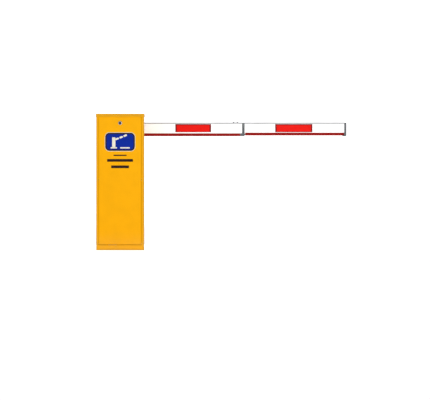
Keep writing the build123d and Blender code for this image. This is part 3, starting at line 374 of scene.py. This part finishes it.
def add_plate(bm, centre, axis, outline, thickness, bevel=0.0003):
    """A flat plate cut to an outline of (x, y) points, rising from the centre along the axis."""
    place = Matrix.Translation(centre) @ facing(axis)
    face = bm.faces.new([bm.verts.new(place @ Vector((x, y, 0))) for x, y in outline])
    made = bmesh.ops.extrude_face_region(bm, geom=[face])["geom"]
    top = [g for g in made if isinstance(g, bmesh.types.BMVert)]
    shift = (place.to_3x3() @ Vector((0, 0, 1))) * thickness
    bmesh.ops.translate(bm, verts=top, vec=shift)
    rim = [e for e in {e for v in top for e in v.link_edges} if all(v in top for v in e.verts)]
    bmesh.ops.bevel(bm, geom=rim, offset=bevel, segments=2, affect="EDGES", profile=0.6)


def polygon(radius, sides):
    """Corners of a regular polygon."""
    turns = [2 * pi * i / sides for i in range(sides)]
    return [(radius * cos(a), radius * sin(a)) for a in turns]


def rounded(width, height, radius, steps=8):
    """Outline of a rectangle with round corners."""
    points = []
    for corner, (sx, sy) in enumerate(((1, 1), (-1, 1), (-1, -1), (1, -1))):
        x, y = sx * (width / 2 - radius), sy * (height / 2 - radius)
        for i in range(steps + 1):
            a = radians(90) * (corner + i / steps)
            points.append((x + radius * cos(a), y + radius * sin(a)))
    return points


def add_bolt(bm, centre, axis, size):
    """Washer and hexagon head of a bolt of that thread size."""
    washer, chamfer = 0.0018, 0.0003
    profile = [(size, 0), (size, washer - chamfer), (size * 0.95, washer), (0, washer)]
    add_turned(bm, centre, axis, profile)
    shift = facing(axis).to_3x3() @ Vector((0, 0, washer))
    head, height, bevel = size * 0.92, size * 0.62, size * 0.06
    add_plate(bm, Vector(centre) + shift, axis, polygon(head, 6), height, bevel)


def add_screw(bm, centre, axis, radius, height=0.0016):
    """Pan-head screw with a recessed drive."""
    recess = radius * 0.45
    profile = [
        (radius, 0),
        (radius, height * 0.35),
        (radius * 0.8, height * 0.85),
        (recess, height),
        (recess * 0.85, height * 0.35),
        (0, height * 0.3),
    ]
    add_turned(bm, centre, axis, profile, 24)


def finish_piece(name, bm, body, slot, angle=35):
    """Turns a bmesh into a smooth-shaded piece that rides on a body."""
    bmesh.ops.recalc_face_normals(bm, faces=bm.faces)
    mesh = bpy.data.meshes.new(name)
    bm.to_mesh(mesh)
    bm.free()
    return place_mesh(name, mesh, body, slot, angle)


def place_mesh(name, mesh, body, slot, angle):
    """Makes a mesh into a piece with a finish, smooth up to an angle in degrees."""
    mesh.materials.clear()
    mesh.materials.append(MATERIALS[slot])
    for face in mesh.polygons:
        face.use_smooth = True
    mesh.set_sharp_from_angle(angle=radians(angle))
    piece = bpy.data.objects.new(name, mesh)
    scene.collection.objects.link(piece)
    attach(piece, body)
    return piece


def tube_mesh(name, points, radius, resolution, cyclic=False):
    """Mesh of a round tube along a line of points."""
    curve = bpy.data.curves.new(name, "CURVE")
    curve.dimensions = "3D"
    curve.bevel_depth = radius
    curve.bevel_resolution = resolution
    curve.use_fill_caps = True
    line = curve.splines.new("POLY")
    line.points.add(len(points) - 1)
    for point, place in zip(line.points, points):
        point.co = (*place, 1.0)
    line.use_cyclic_u = cyclic
    holder = bpy.data.objects.new(name, curve)
    scene.collection.objects.link(holder)
    bpy.context.view_layer.update()
    shown = holder.evaluated_get(bpy.context.evaluated_depsgraph_get())
    mesh = bpy.data.meshes.new_from_object(shown)
    bpy.data.objects.remove(holder)
    return mesh


# ---------------------------------------------------------------- front label and print

def raise_faces(bm, faces, rise):
    """Thickens printed faces towards the front."""
    grown = bmesh.ops.extrude_face_region(bm, geom=faces)["geom"]
    verts = [g for g in grown if isinstance(g, bmesh.types.BMVert)]
    bmesh.ops.translate(bm, verts=verts, vec=(0, -rise, 0))


def flat_shape(bm, outline, face, rise):
    """A thin printed shape on the door: outline of (x, z), its back at depth face."""
    raise_faces(bm, [bm.faces.new([bm.verts.new((x, face, z)) for x, z in outline])], rise)


def flat_ring(bm, centre, sizes, face, rise):
    """A thin printed band between two rounded rectangles, each given as (width, height, radius)."""
    outer, inner = [
        [bm.verts.new((centre.x + x, face, centre.z + z)) for x, z in rounded(*size)]
        for size in sizes
    ]
    faces = []
    for i in range(len(outer)):
        j = (i + 1) % len(outer)
        faces.append(bm.faces.new((outer[i], outer[j], inner[j], inner[i])))
    raise_faces(bm, faces, rise)


def tilted_bar(centre, offset, length, thickness, tilt=0.0):
    """Outline of a round-cornered bar at an offset from the centre, tilted about its own middle."""
    outline = []
    corner = BAR_CORNER * min(length, thickness)
    for x, z in rounded(length, thickness, corner, 4):
        turned = (x * cos(tilt) - z * sin(tilt), x * sin(tilt) + z * cos(tilt))
        outline.append((centre.x + offset[0] + turned[0], centre.z + offset[1] + turned[1]))
    return outline


def add_label():
    """A generic badge: pale rim, dark border, blue field and a barrier pictogram over plain bars."""
    low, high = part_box("front_label")
    centre = (low + high) / 2
    face = low.y
    width, height = high.x - low.x, high.z - low.z
    corner, sunk = 0.034, 0.0001
    halo_edge, border_edge = 0.003, 0.013
    full, within_halo, within_border = [
        (width - 2 * inset, height - 2 * inset, corner - inset)
        for inset in (0.0, halo_edge, border_edge)
    ]
    for name, slot, sizes, rise in (
        ("label_halo", "print_cream", (full, within_halo), 0.0002),
        ("label_border", "print_dark", (within_halo, within_border), 0.0003),
    ):
        band = bmesh.new()
        flat_ring(band, centre, sizes, face + sunk, rise)
        finish_piece(name, band, "door", slot)
    # Post and foot, the raised arm in three dashes, and the road beside them
    post_x, pivot_z, foot_z, tilt = -0.046, 0.012, -0.044, radians(22)
    strokes = [((post_x, -0.004), 0.024, 0.074, 0.0), ((post_x, foot_z), 0.046, 0.009, 0.0)]
    for reach in (0.026, 0.058, 0.090):
        place = (post_x + reach * cos(tilt), pivot_z + reach * sin(tilt))
        strokes.append((place, 0.025, 0.013, tilt))
    strokes.append(((0.036, foot_z), 0.070, 0.009, 0.0))
    sign = bmesh.new()
    for stroke in strokes:
        flat_shape(sign, tilted_bar(centre, *stroke), face, 0.0005)
    finish_piece("label_pictogram", sign, "door", "print_cream")
    bars = bmesh.new()
    door_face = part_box("front_door")[0].y
    rows = ((0.695, 0.096, 0.009), (0.658, 0.190, 0.020), (0.611, 0.131, 0.020))
    for bar_z, length, thickness in rows:
        outline = tilted_bar(centre, (0.0, bar_z - centre.z), length, thickness)
        flat_shape(bars, outline, door_face, 0.0003)
    finish_piece("label_bars", bars, "door", "print_dark")


# ---------------------------------------------------------------- cabinet and door

def add_frame_bolts():
    """Bolt heads of the inner frame's plates, the bearings and the gearbox, and of the shelf."""
    plate_low, plate_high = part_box("front_plate")
    rear_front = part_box("rear_plate")[0].y
    shaft_z = middle("main_shaft", "z")
    edge, m8, m7 = 0.012, 0.008, 0.007
    left, right = plate_low.x + edge, plate_high.x - edge
    bolts = bmesh.new()
    for x, z in ((left, 0.8), (left, 0.938), (right, 0.8), (right, 0.938), (left, 0.56)):
        add_bolt(bolts, (x, plate_low.y, z), "-Y", m8)
    bearing_reach, gearbox_reach, flange = 0.0385, 0.034, 0.008
    for centre_z, reach in ((shaft_z, bearing_reach), (middle("output_shaft", "z"), gearbox_reach)):
        for sx, sz in CORNERS:
            add_bolt(bolts, (sx * reach, plate_low.y, centre_z + sz * reach), "-Y", m8)
    for sx, sz in CORNERS:
        place = (sx * bearing_reach, rear_front - flange, shaft_z + sz * bearing_reach)
        add_bolt(bolts, place, "-Y", m7)
    finish_piece("frame_bolt_heads", bolts, "cabinet", "zinc_steel")
    shelf_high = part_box("shelf_plate")[1]
    rail_x = shelf_high.x - 0.014
    bolts = bmesh.new()
    for x in (-rail_x, rail_x):
        for y in (-0.045, 0.037, 0.12):
            add_bolt(bolts, (x, y, shelf_high.z), "Z", m7)
    finish_piece("shelf_bolts", bolts, "cabinet", "zinc_steel")


def add_frame_welds():
    """Rows of weld beads along the foot of both upright plates."""
    beads, radius, margin, overlap, lift = 60, 0.0028, 0.004, 0.0006, 0.0012
    welds = bmesh.new()
    for low, high in (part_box("front_plate"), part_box("rear_plate")):
        run = high.x - low.x - 2 * margin
        for y, side in ((low.y, -1), (high.y, 1)):
            for i in range(beads):
                place = (low.x + margin + run * i / (beads - 1), y + side * overlap, low.z + lift)
                bead = bmesh.ops.create_icosphere(welds, subdivisions=1, radius=radius)["verts"]
                bmesh.ops.translate(welds, verts=bead, vec=place)
    finish_piece("frame_welds", welds, "cabinet", "weld_steel", 80)


def add_cabinet_details():
    """Door seal, earthing stud, grommet of the cable opening and the cover's screw heads."""
    door_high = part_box("front_door")[1]
    seal_width, seal_depth, seal_gap, seal_foot, seal_top = 0.006, 0.004, 0.0008, 0.06, 0.945
    seal_y = door_high.y + seal_gap
    inner = door_high.x - seal_width
    seal = bmesh.new()
    for x0, x1 in ((-inner - seal_width, -inner), (inner, inner + seal_width)):
        add_block(seal, (x0, seal_y, seal_foot), (x1, seal_y + seal_depth, seal_top), 0.0008)
    finish_piece("door_seal", seal, "cabinet", "black_rubber")
    floor_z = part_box("base_plate")[1].z
    stud = (0.09, -0.09, floor_z)
    earth = bmesh.new()
    add_turned(earth, stud, "Z", [(0.004, 0), (0.004, 0.022), (0.0034, 0.023), (0, 0.023)], 20)
    add_bolt(earth, stud, "Z", 0.007)
    finish_piece("earth_stud", earth, "cabinet", "gear_bronze")
    cord_radius, cord_lift = 0.0022, 0.0012
    path = [(x, y, floor_z + cord_lift) for x, y in rounded(0.140, 0.100, 0.010, 6)]
    mesh = tube_mesh("cable_grommet", path, cord_radius, 3, True)
    place_mesh("cable_grommet", mesh, "cabinet", "black_rubber", 60)
    # Recessed heads standing for the plain cover screws
    low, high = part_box("cover_screws")
    screw_z = middle("cover_screws", "z")
    head_radius, head_height = 0.0045, 0.0019
    heads = bmesh.new()
    for x, axis in ((low.x + head_height, "-X"), (high.x - head_height, "X")):
        for y in (low.y + head_radius, high.y - head_radius):
            add_screw(heads, (x, y, screw_z), axis, head_radius, head_height)
    piece = finish_piece("cover_screw_heads", heads, "cabinet", "chrome")
    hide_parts("cover_screws")


def add_lock():
    """Bright ribbed escutcheon and dark core round the key plug, standing for the plain barrel."""
    low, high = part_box("lock_barrel")
    plug_low, plug_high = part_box("lock_plug")
    face = low.y
    centre = Vector((middle("lock_barrel", "x"), face, middle("lock_barrel", "z")))
    depth = high.y - face
    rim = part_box("front_door")[0].y - face
    clearance, neck, inner, sunk, chamfer = 0.0001, 0.009, 0.0094, 0.0008, 0.0006
    bore = (plug_high.z - plug_low.z) / 2 + clearance
    outer = (high.z - low.z) / 2
    core = bmesh.new()
    profile = [
        (bore, depth),
        (neck, depth),
        (neck, rim),
        (inner, rim),
        (inner, sunk),
        (bore + 0.001, sunk),
        (bore, sunk + chamfer),
        (bore, depth),
    ]
    add_turned(core, centre, "Y", profile, 64)
    piece = finish_piece("lock_barrel_core", core, "door", "toggle_black")
    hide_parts("lock_barrel")
    # Rounded front of the escutcheon, with small cone-ended ribs round it
    slope = 0.0012
    profile = [
        (inner, rim),
        (outer, rim),
        (outer, 0.0022),
        (outer - slope, 0.0008),
        (outer - 0.0026, 0.0),
        (inner + 0.0004, 0.0),
        (inner, 0.0004),
        (inner, rim),
    ]
    ribs, rib_radius = 24, 0.0009
    ring = bmesh.new()
    add_turned(ring, centre, "Y", profile, 64)
    for i in range(ribs):
        a = 2 * pi * i / ribs
        reach = outer - slope
        place = (centre.x + reach * cos(a), face + 0.0005, centre.z + reach * sin(a))
        rib = [(0.0, 0.0), (rib_radius, 0.0006), (rib_radius, rim - 0.0006)]
        add_turned(ring, place, "Y", rib, 8)
    piece = finish_piece("lock_escutcheon", ring, "door", "chrome")
    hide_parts("lock_barrel")


# ---------------------------------------------------------------- drive and electrical details

def add_spring():
    """Wound extension spring with hooks, standing for the plain coil."""
    low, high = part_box("balance_spring")
    x, y = middle("balance_spring", "x"), middle("balance_spring", "y")
    wire, turns, per_turn = 0.0024, 68, 18
    radius = (high.x - low.x) / 2 - wire
    coil_low, coil_high = 0.384, 0.876
    neck_start, neck_end = 0.006, 0.014
    pin_z, foot_z, anchor_z = high.z - 0.0115, 0.3415, 0.33
    hook, hook_height, hook_turn, steps = 0.0090, 0.0103, radians(310), 20
    total = turns * per_turn
    coil = []
    for i in range(total + 1):
        a = 2 * pi * i / per_turn
        z = coil_low + (coil_high - coil_low) * i / total
        coil.append((x + radius * cos(a), y + radius * sin(a), z))
    # Hooks: in to the middle, out and round, the upper one oval and the lower one set across it
    upper = [(x + radius * 0.5, y, coil_high + neck_start), (x, y, coil_high + neck_end)]
    lower = [(x + radius * 0.5, y, coil_low - neck_start), (x, y, coil_low - neck_end)]
    for i in range(steps + 1):
        a = radians(-90) + hook_turn * i / steps
        upper.append((x + hook * cos(a), y, pin_z + hook_height * sin(a)))
        a = radians(90) + hook_turn * i / steps
        lower.append((x, y + hook * cos(a), foot_z + hook * sin(a)))
    mesh = tube_mesh("spring_wire", lower[::-1] + coil + upper, wire, 2)
    piece = place_mesh("spring_coil", mesh, "cabinet", "spring_steel", 80)
    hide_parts("balance_spring")
    # Lifting the arm takes the stub from above the shaft to as far below it
    keep = (2 * middle("main_shaft", "z") - pin_z - anchor_z) / (pin_z - anchor_z)
    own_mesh(piece)


def add_gearbox_details():
    """Side ribs, cover bolts and the breather plug."""
    low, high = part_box("gearbox_housing")
    rib_front, rib_back, rib_half, rib_reach, sunk = -0.022, 0.042, 0.002, 0.006, 0.001
    ribs = bmesh.new()
    for lift in (0.03, 0.06, 0.095, 0.125):
        z0, z1 = low.z + lift - rib_half, low.z + lift + rib_half
        for x0, x1 in ((high.x - sunk, high.x + rib_reach), (low.x - rib_reach, low.x + sunk)):
            add_block(ribs, (x0, rib_front, z0), (x1, rib_back, z1), 0.0008)
    finish_piece("gearbox_ribs", ribs, "cabinet", "cast_housing")
    cover_low, cover_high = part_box("gearbox_cover")
    inset = 0.009
    fixings = bmesh.new()
    for x in (cover_low.x + inset, middle("gearbox_cover", "x"), cover_high.x - inset):
        for z in (cover_low.z + inset, cover_high.z - inset):
            add_bolt(fixings, (x, cover_high.y, z), "Y", 0.005)
    plug_x, plug_y, head = -0.03, 0.01, 0.007
    add_bolt(fixings, (plug_x, plug_y, high.z), "Z", 0.009)
    breather = [(0.005, 0), (0.005, 0.008), (0.003, 0.010), (0, 0.010)]
    add_turned(fixings, (plug_x, plug_y, high.z + head), "Z", breather, 24)
    finish_piece("gearbox_fixings", fixings, "cabinet", "zinc_steel")


def add_motor_details():
    """Screws and blank plate of the motor, cable glands, the handwheel's boss and grease nipples."""
    motor_low, motor_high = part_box("motor_casing")
    x, y = middle("worm_shaft", "x"), middle("worm_shaft", "y")
    end_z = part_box("motor_end_cover")[0].z + 0.0002
    end_reach, box_reach, box_z, box_rise = 0.044, 0.017, 0.42, 0.019
    screws = bmesh.new()
    for i in range(4):
        a = radians(45 + 90 * i)
        add_screw(screws, (x + end_reach * cos(a), y + end_reach * sin(a), end_z), "-Z", 0.004)
    for sx, sz in CORNERS:
        add_screw(screws, (x + sx * box_reach, motor_high.y, box_z + sz * box_rise), "Y", 0.003)
    finish_piece("motor_screws", screws, "cabinet", "zinc_steel")
    plate = bmesh.new()
    outline = rounded(0.04, 0.026, 0.002, 3)
    add_plate(plate, (x, motor_low.y - 0.0002, 0.47), "-Y", outline, 0.0006, 0.0002)
    finish_piece("motor_blank_plate", plate, "cabinet", "zinc_steel")
    low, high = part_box("motor_cable")
    half = 0.0035
    gland = [(0.0085, 0), (0.0085, 0.004), (0.007, 0.0045)]
    gland += [(0.007, 0.010), (0.0055, 0.0125), (0.0037, 0.013)]
    cable_x = middle("motor_cable", "x")
    glands = bmesh.new()
    add_turned(glands, (cable_x, low.y, high.z - half), "Y", gland, 24)
    add_turned(glands, (cable_x, high.y - half, low.z), "Z", gland, 24)
    finish_piece("cable_glands", glands, "cabinet", "toggle_black")
    wheel_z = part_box("handwheel")[0].z
    boss = bmesh.new()
    profile = [(0.016, 0), (0.016, 0.003), (0.012, 0.005), (0.009, 0.005)]
    add_turned(boss, (x, y, wheel_z), "-Z", profile, 32)
    finish_piece("handwheel_boss", boss, "worm", "zinc_steel")
    low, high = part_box("bearing_housings")
    inset, housing_half = 0.014, 0.0398
    nipple_z = middle("main_shaft", "z") + housing_half
    nipple = [(0.004, 0), (0.004, 0.003), (0.002, 0.004), (0.002, 0.006)]
    nipple += [(0.0028, 0.007), (0.0028, 0.009), (0, 0.010)]
    nipples = bmesh.new()
    for y in (low.y + inset, high.y - inset):
        add_turned(nipples, (0, y, nipple_z), "Z", nipple, 20)
    finish_piece("grease_nipples", nipples, "cabinet", "zinc_steel")


def add_electrical_details():
    """Screws, window, lamps and ribs of the controller's lid, and the terminals' screws."""
    low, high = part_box("controller_lid")
    inset = 0.009
    screws = bmesh.new()
    for x in (low.x + inset, high.x - inset):
        for z in (low.z + inset, high.z - inset):
            add_screw(screws, (x, low.y, z), "-Y", 0.004)
    finish_piece("lid_screws", screws, "cabinet", "zinc_steel")
    row_z = high.z - 0.045
    window = bmesh.new()
    place = (middle("controller_lid", "x") + 0.03, low.y, row_z)
    add_plate(window, place, "-Y", rounded(0.07, 0.03, 0.003, 4), 0.0012)
    finish_piece("lid_window", window, "cabinet", "toggle_black")
    edge, lamp_pitch = 0.03, 0.012
    lamp = [(0.003, 0), (0.003, 0.0015), (0.0022, 0.0028), (0, 0.0033)]
    lamps = bmesh.new()
    for i in range(4):
        add_turned(lamps, (low.x + edge + i * lamp_pitch, low.y, row_z), "-Y", lamp, 20)
    finish_piece("lid_lamps", lamps, "cabinet", "lamp_green")
    first_rib, rib_pitch, rib_height = 0.025, 0.009, 0.004
    ribs = bmesh.new()
    for i in range(7):
        z = low.z + first_rib + i * rib_pitch
        rib_low = (low.x + edge, low.y - 0.0015, z)
        add_block(ribs, rib_low, (high.x - edge, low.y + 0.001, z + rib_height), 0.0006)
    finish_piece("lid_ribs", ribs, "cabinet", "box_grey")
    low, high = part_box("terminal_block")
    ways, row, wall, proud, sunk = 12, 0.006, 0.0008, 0.003, 0.001
    pitch = (high.x - low.x) / ways
    block_z = middle("terminal_block", "z")
    heads = bmesh.new()
    for i in range(ways):
        x = low.x + pitch * (i + 0.5)
        for z in (block_z - row, block_z + row):
            add_screw(heads, (x, low.y, z), "-Y", 0.0026, 0.001)
    finish_piece("terminal_screws", heads, "cabinet", "zinc_steel")
    partitions = bmesh.new()
    for i in range(ways + 1):
        x = low.x + pitch * i
        wall_low = (x - wall, low.y - proud, low.z)
        add_block(partitions, wall_low, (x + wall, low.y + sunk, high.z), 0.0003)
    finish_piece("terminal_partitions", partitions, "cabinet", "terminal_grey")


# ---------------------------------------------------------------- arm details

def add_arm_edges():
    """Grey insert strip on the top edge of each section, dark enough to paint the edge's shade line,
    the joint's screws and the rubber strips' ribs.
    """
    main_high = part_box("main_boom")[1]
    outer_low, outer_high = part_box("outer_boom")
    screw_low, screw_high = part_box("joint_screws")
    clamp_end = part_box("boom_clamp")[1].x
    mid_y = middle("main_boom", "y")
    half, drop, rise = 0.0221, 0.0040, 0.0012
    # Grey insert in the top groove, made dark to paint the shade line along the top edge
    for name, start, end, top, body in (
        ("main_trim_and_shade_strip", clamp_end, main_high.x - 0.0005, main_high.z, "main_arm"),
        ("outer_trim_and_shade_strip", outer_low.x + 0.001, outer_high.x - 0.001, outer_high.z, "outer_arm"),
    ):
        trim = bmesh.new()
        trim_low = (start, mid_y - half, top - drop)
        add_block(trim, trim_low, (end, mid_y + half, top + rise), 0.0018)
        finish_piece(name, trim, body, "cap_grey")
    # Pan heads of the two screws that hold the joint's tongue
    head_radius, head_height = 0.0060, 0.0058
    heads = bmesh.new()
    for x in (screw_low.x + head_radius, screw_high.x - head_radius):
        add_screw(heads, (x, mid_y, main_high.z), "Z", head_radius, head_height)
    piece = finish_piece("joint_screw_heads", heads, "main_arm", "joint_grey")
    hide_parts("joint_screws")
    rib_height, rib_half, end_gap = 0.001, 0.0005, 0.001
    for strip, body in (("main_rubber_strip", "main_arm"), ("outer_rubber_strip", "outer_arm")):
        low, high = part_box(strip)
        ribs = bmesh.new()
        for y in (low.y, high.y):
            for drop in (0.0016, 0.0036):
                rib_low = (low.x + end_gap, y - rib_half, high.z - drop - rib_height)
                rib_high = (high.x - end_gap, y + rib_half, high.z - drop)
                add_block(ribs, rib_low, rib_high, 0.0003)
        finish_piece(strip + "_ribs", ribs, body, "red_rubber")


def add_arm_faces():
    """Dark welts round the bands of tape, and the caps' screws on the side away from the road."""
    main_low, main_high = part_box("main_boom")
    outer_low, outer_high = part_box("outer_boom")
    side, above, below, proud = 0.011, 0.008, 0.004, 0.0003
    for tape, body, reach in (("main_tape", "main_arm", 0.003), ("outer_tape", "outer_arm", 0.006)):
        low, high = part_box(tape)
        start, end = low.x - reach, high.x + reach
        welt = bmesh.new()
        for y0, y1 in ((low.y - proud, main_low.y), (main_high.y, high.y + proud)):
            for x0, x1, z0, z1 in (
                (start, end, low.z, low.z + below),
                (start, end, high.z - above, high.z),
                (start, start + side, low.z + below, high.z - above),
                (end - side, end, low.z + below, high.z - above),
            ):
                add_block(welt, (x0, y0, z0), (x1, y1, z1), 0.0001)
        finish_piece(tape + "_edging", welt, body, "tape_edge")
    edge, radius = 0.018, 0.004
    main_places = [(main_high.x - 0.016, z) for z in (main_low.z + edge, main_high.z - edge)]
    outer_places = [
        (x, z)
        for z in (outer_low.z + edge, outer_high.z - edge)
        for x in (outer_low.x + 0.016, outer_high.x - 0.014)
    ]
    for name, places, y, body in (
        ("main_cap_screws", main_places, main_high.y, "main_arm"),
        ("outer_cap_screws", outer_places, outer_high.y, "outer_arm"),
    ):
        caps = bmesh.new()
        for x, z in places:
            add_screw(caps, (x, y, z), "Y", radius)
        finish_piece(name, caps, body, "zinc_steel")


add_label()
add_frame_bolts()
add_frame_welds()
add_cabinet_details()
add_lock()
add_spring()
add_gearbox_details()
add_motor_details()
add_electrical_details()
add_arm_edges()
add_arm_faces()

# ---------------------------------------------------------------- floor, backdrop and light

def add_stage():
    """Pale round floor whose rim curves up into a low backdrop, beyond the reach of any view."""
    flat, bend, top = 62.0, 4.0, 9.0
    steps, segments = 8, 96
    profile = [(flat / 4, 0.0), (flat, 0.0)]
    for i in range(1, steps + 1):
        turn = radians(90) * i / steps
        profile.append((flat + bend * sin(turn), bend - bend * cos(turn)))
    profile.append((flat + bend, top))
    points = [(0.0, 0.0, 0.0)]
    for reach, height in profile:
        points += [(x, y, height) for x, y in polygon(reach, segments)]
    faces = [(0, 1 + i, 1 + (i + 1) % segments) for i in range(segments)]
    for ring in range(len(profile) - 1):
        first = 1 + ring * segments
        for i in range(segments):
            a, b = first + i, first + (i + 1) % segments
            faces.append((a, a + segments, b + segments, b))
    mesh = bpy.data.meshes.new("floor")
    mesh.from_pydata(points, [], faces)
    floor = bpy.data.objects.new("floor", mesh)
    scene.collection.objects.link(floor)
    s = Shader("floor_white", 0.9)
    s.colour(s.ramp(s.noise(1.5, 2.0), (0.3, 0.93), (0.7, 0.95)))
    s.specular(0.1)
    s.glow(0.7)
    mesh.materials.append(s.material)


def add_area_light(name, place, aim, size, power):
    """A soft rectangular light at a place, turned to its aim."""
    data = bpy.data.lights.new(name, "AREA")
    data.shape = "RECTANGLE"
    data.size, data.size_y = size
    data.energy = power
    light = bpy.data.objects.new(name, data)
    light.location = place
    light.rotation_euler = (Vector(aim) - Vector(place)).to_track_quat("-Z", "Y").to_euler()
    scene.collection.objects.link(light)


add_stage()
world = bpy.data.worlds.new("studio")
scene.world = world
world.use_nodes = True
background = world.node_tree.nodes["Background"]
background.inputs["Color"].default_value = (1.0, 1.0, 1.0, 1.0)
background.inputs["Strength"].default_value = 0.32
add_area_light("key_light", (2.6, -8.0, 2.2), (0.5, 0.0, 0.6), (5.0, 3.0), 225.0)
add_area_light("top_light", (0.5, 0.5, 7.0), (0.5, 0.0, 0.5), (5.0, 4.0), 45.0)
add_area_light("back_light", (-1.0, 7.0, 4.0), (0.5, 0.0, 0.6), (5.0, 3.0), 150.0)
add_area_light("fill_light", (-5.0, -4.0, 2.5), (0.6, 0.0, 0.7), (4.0, 4.0), 30.0)
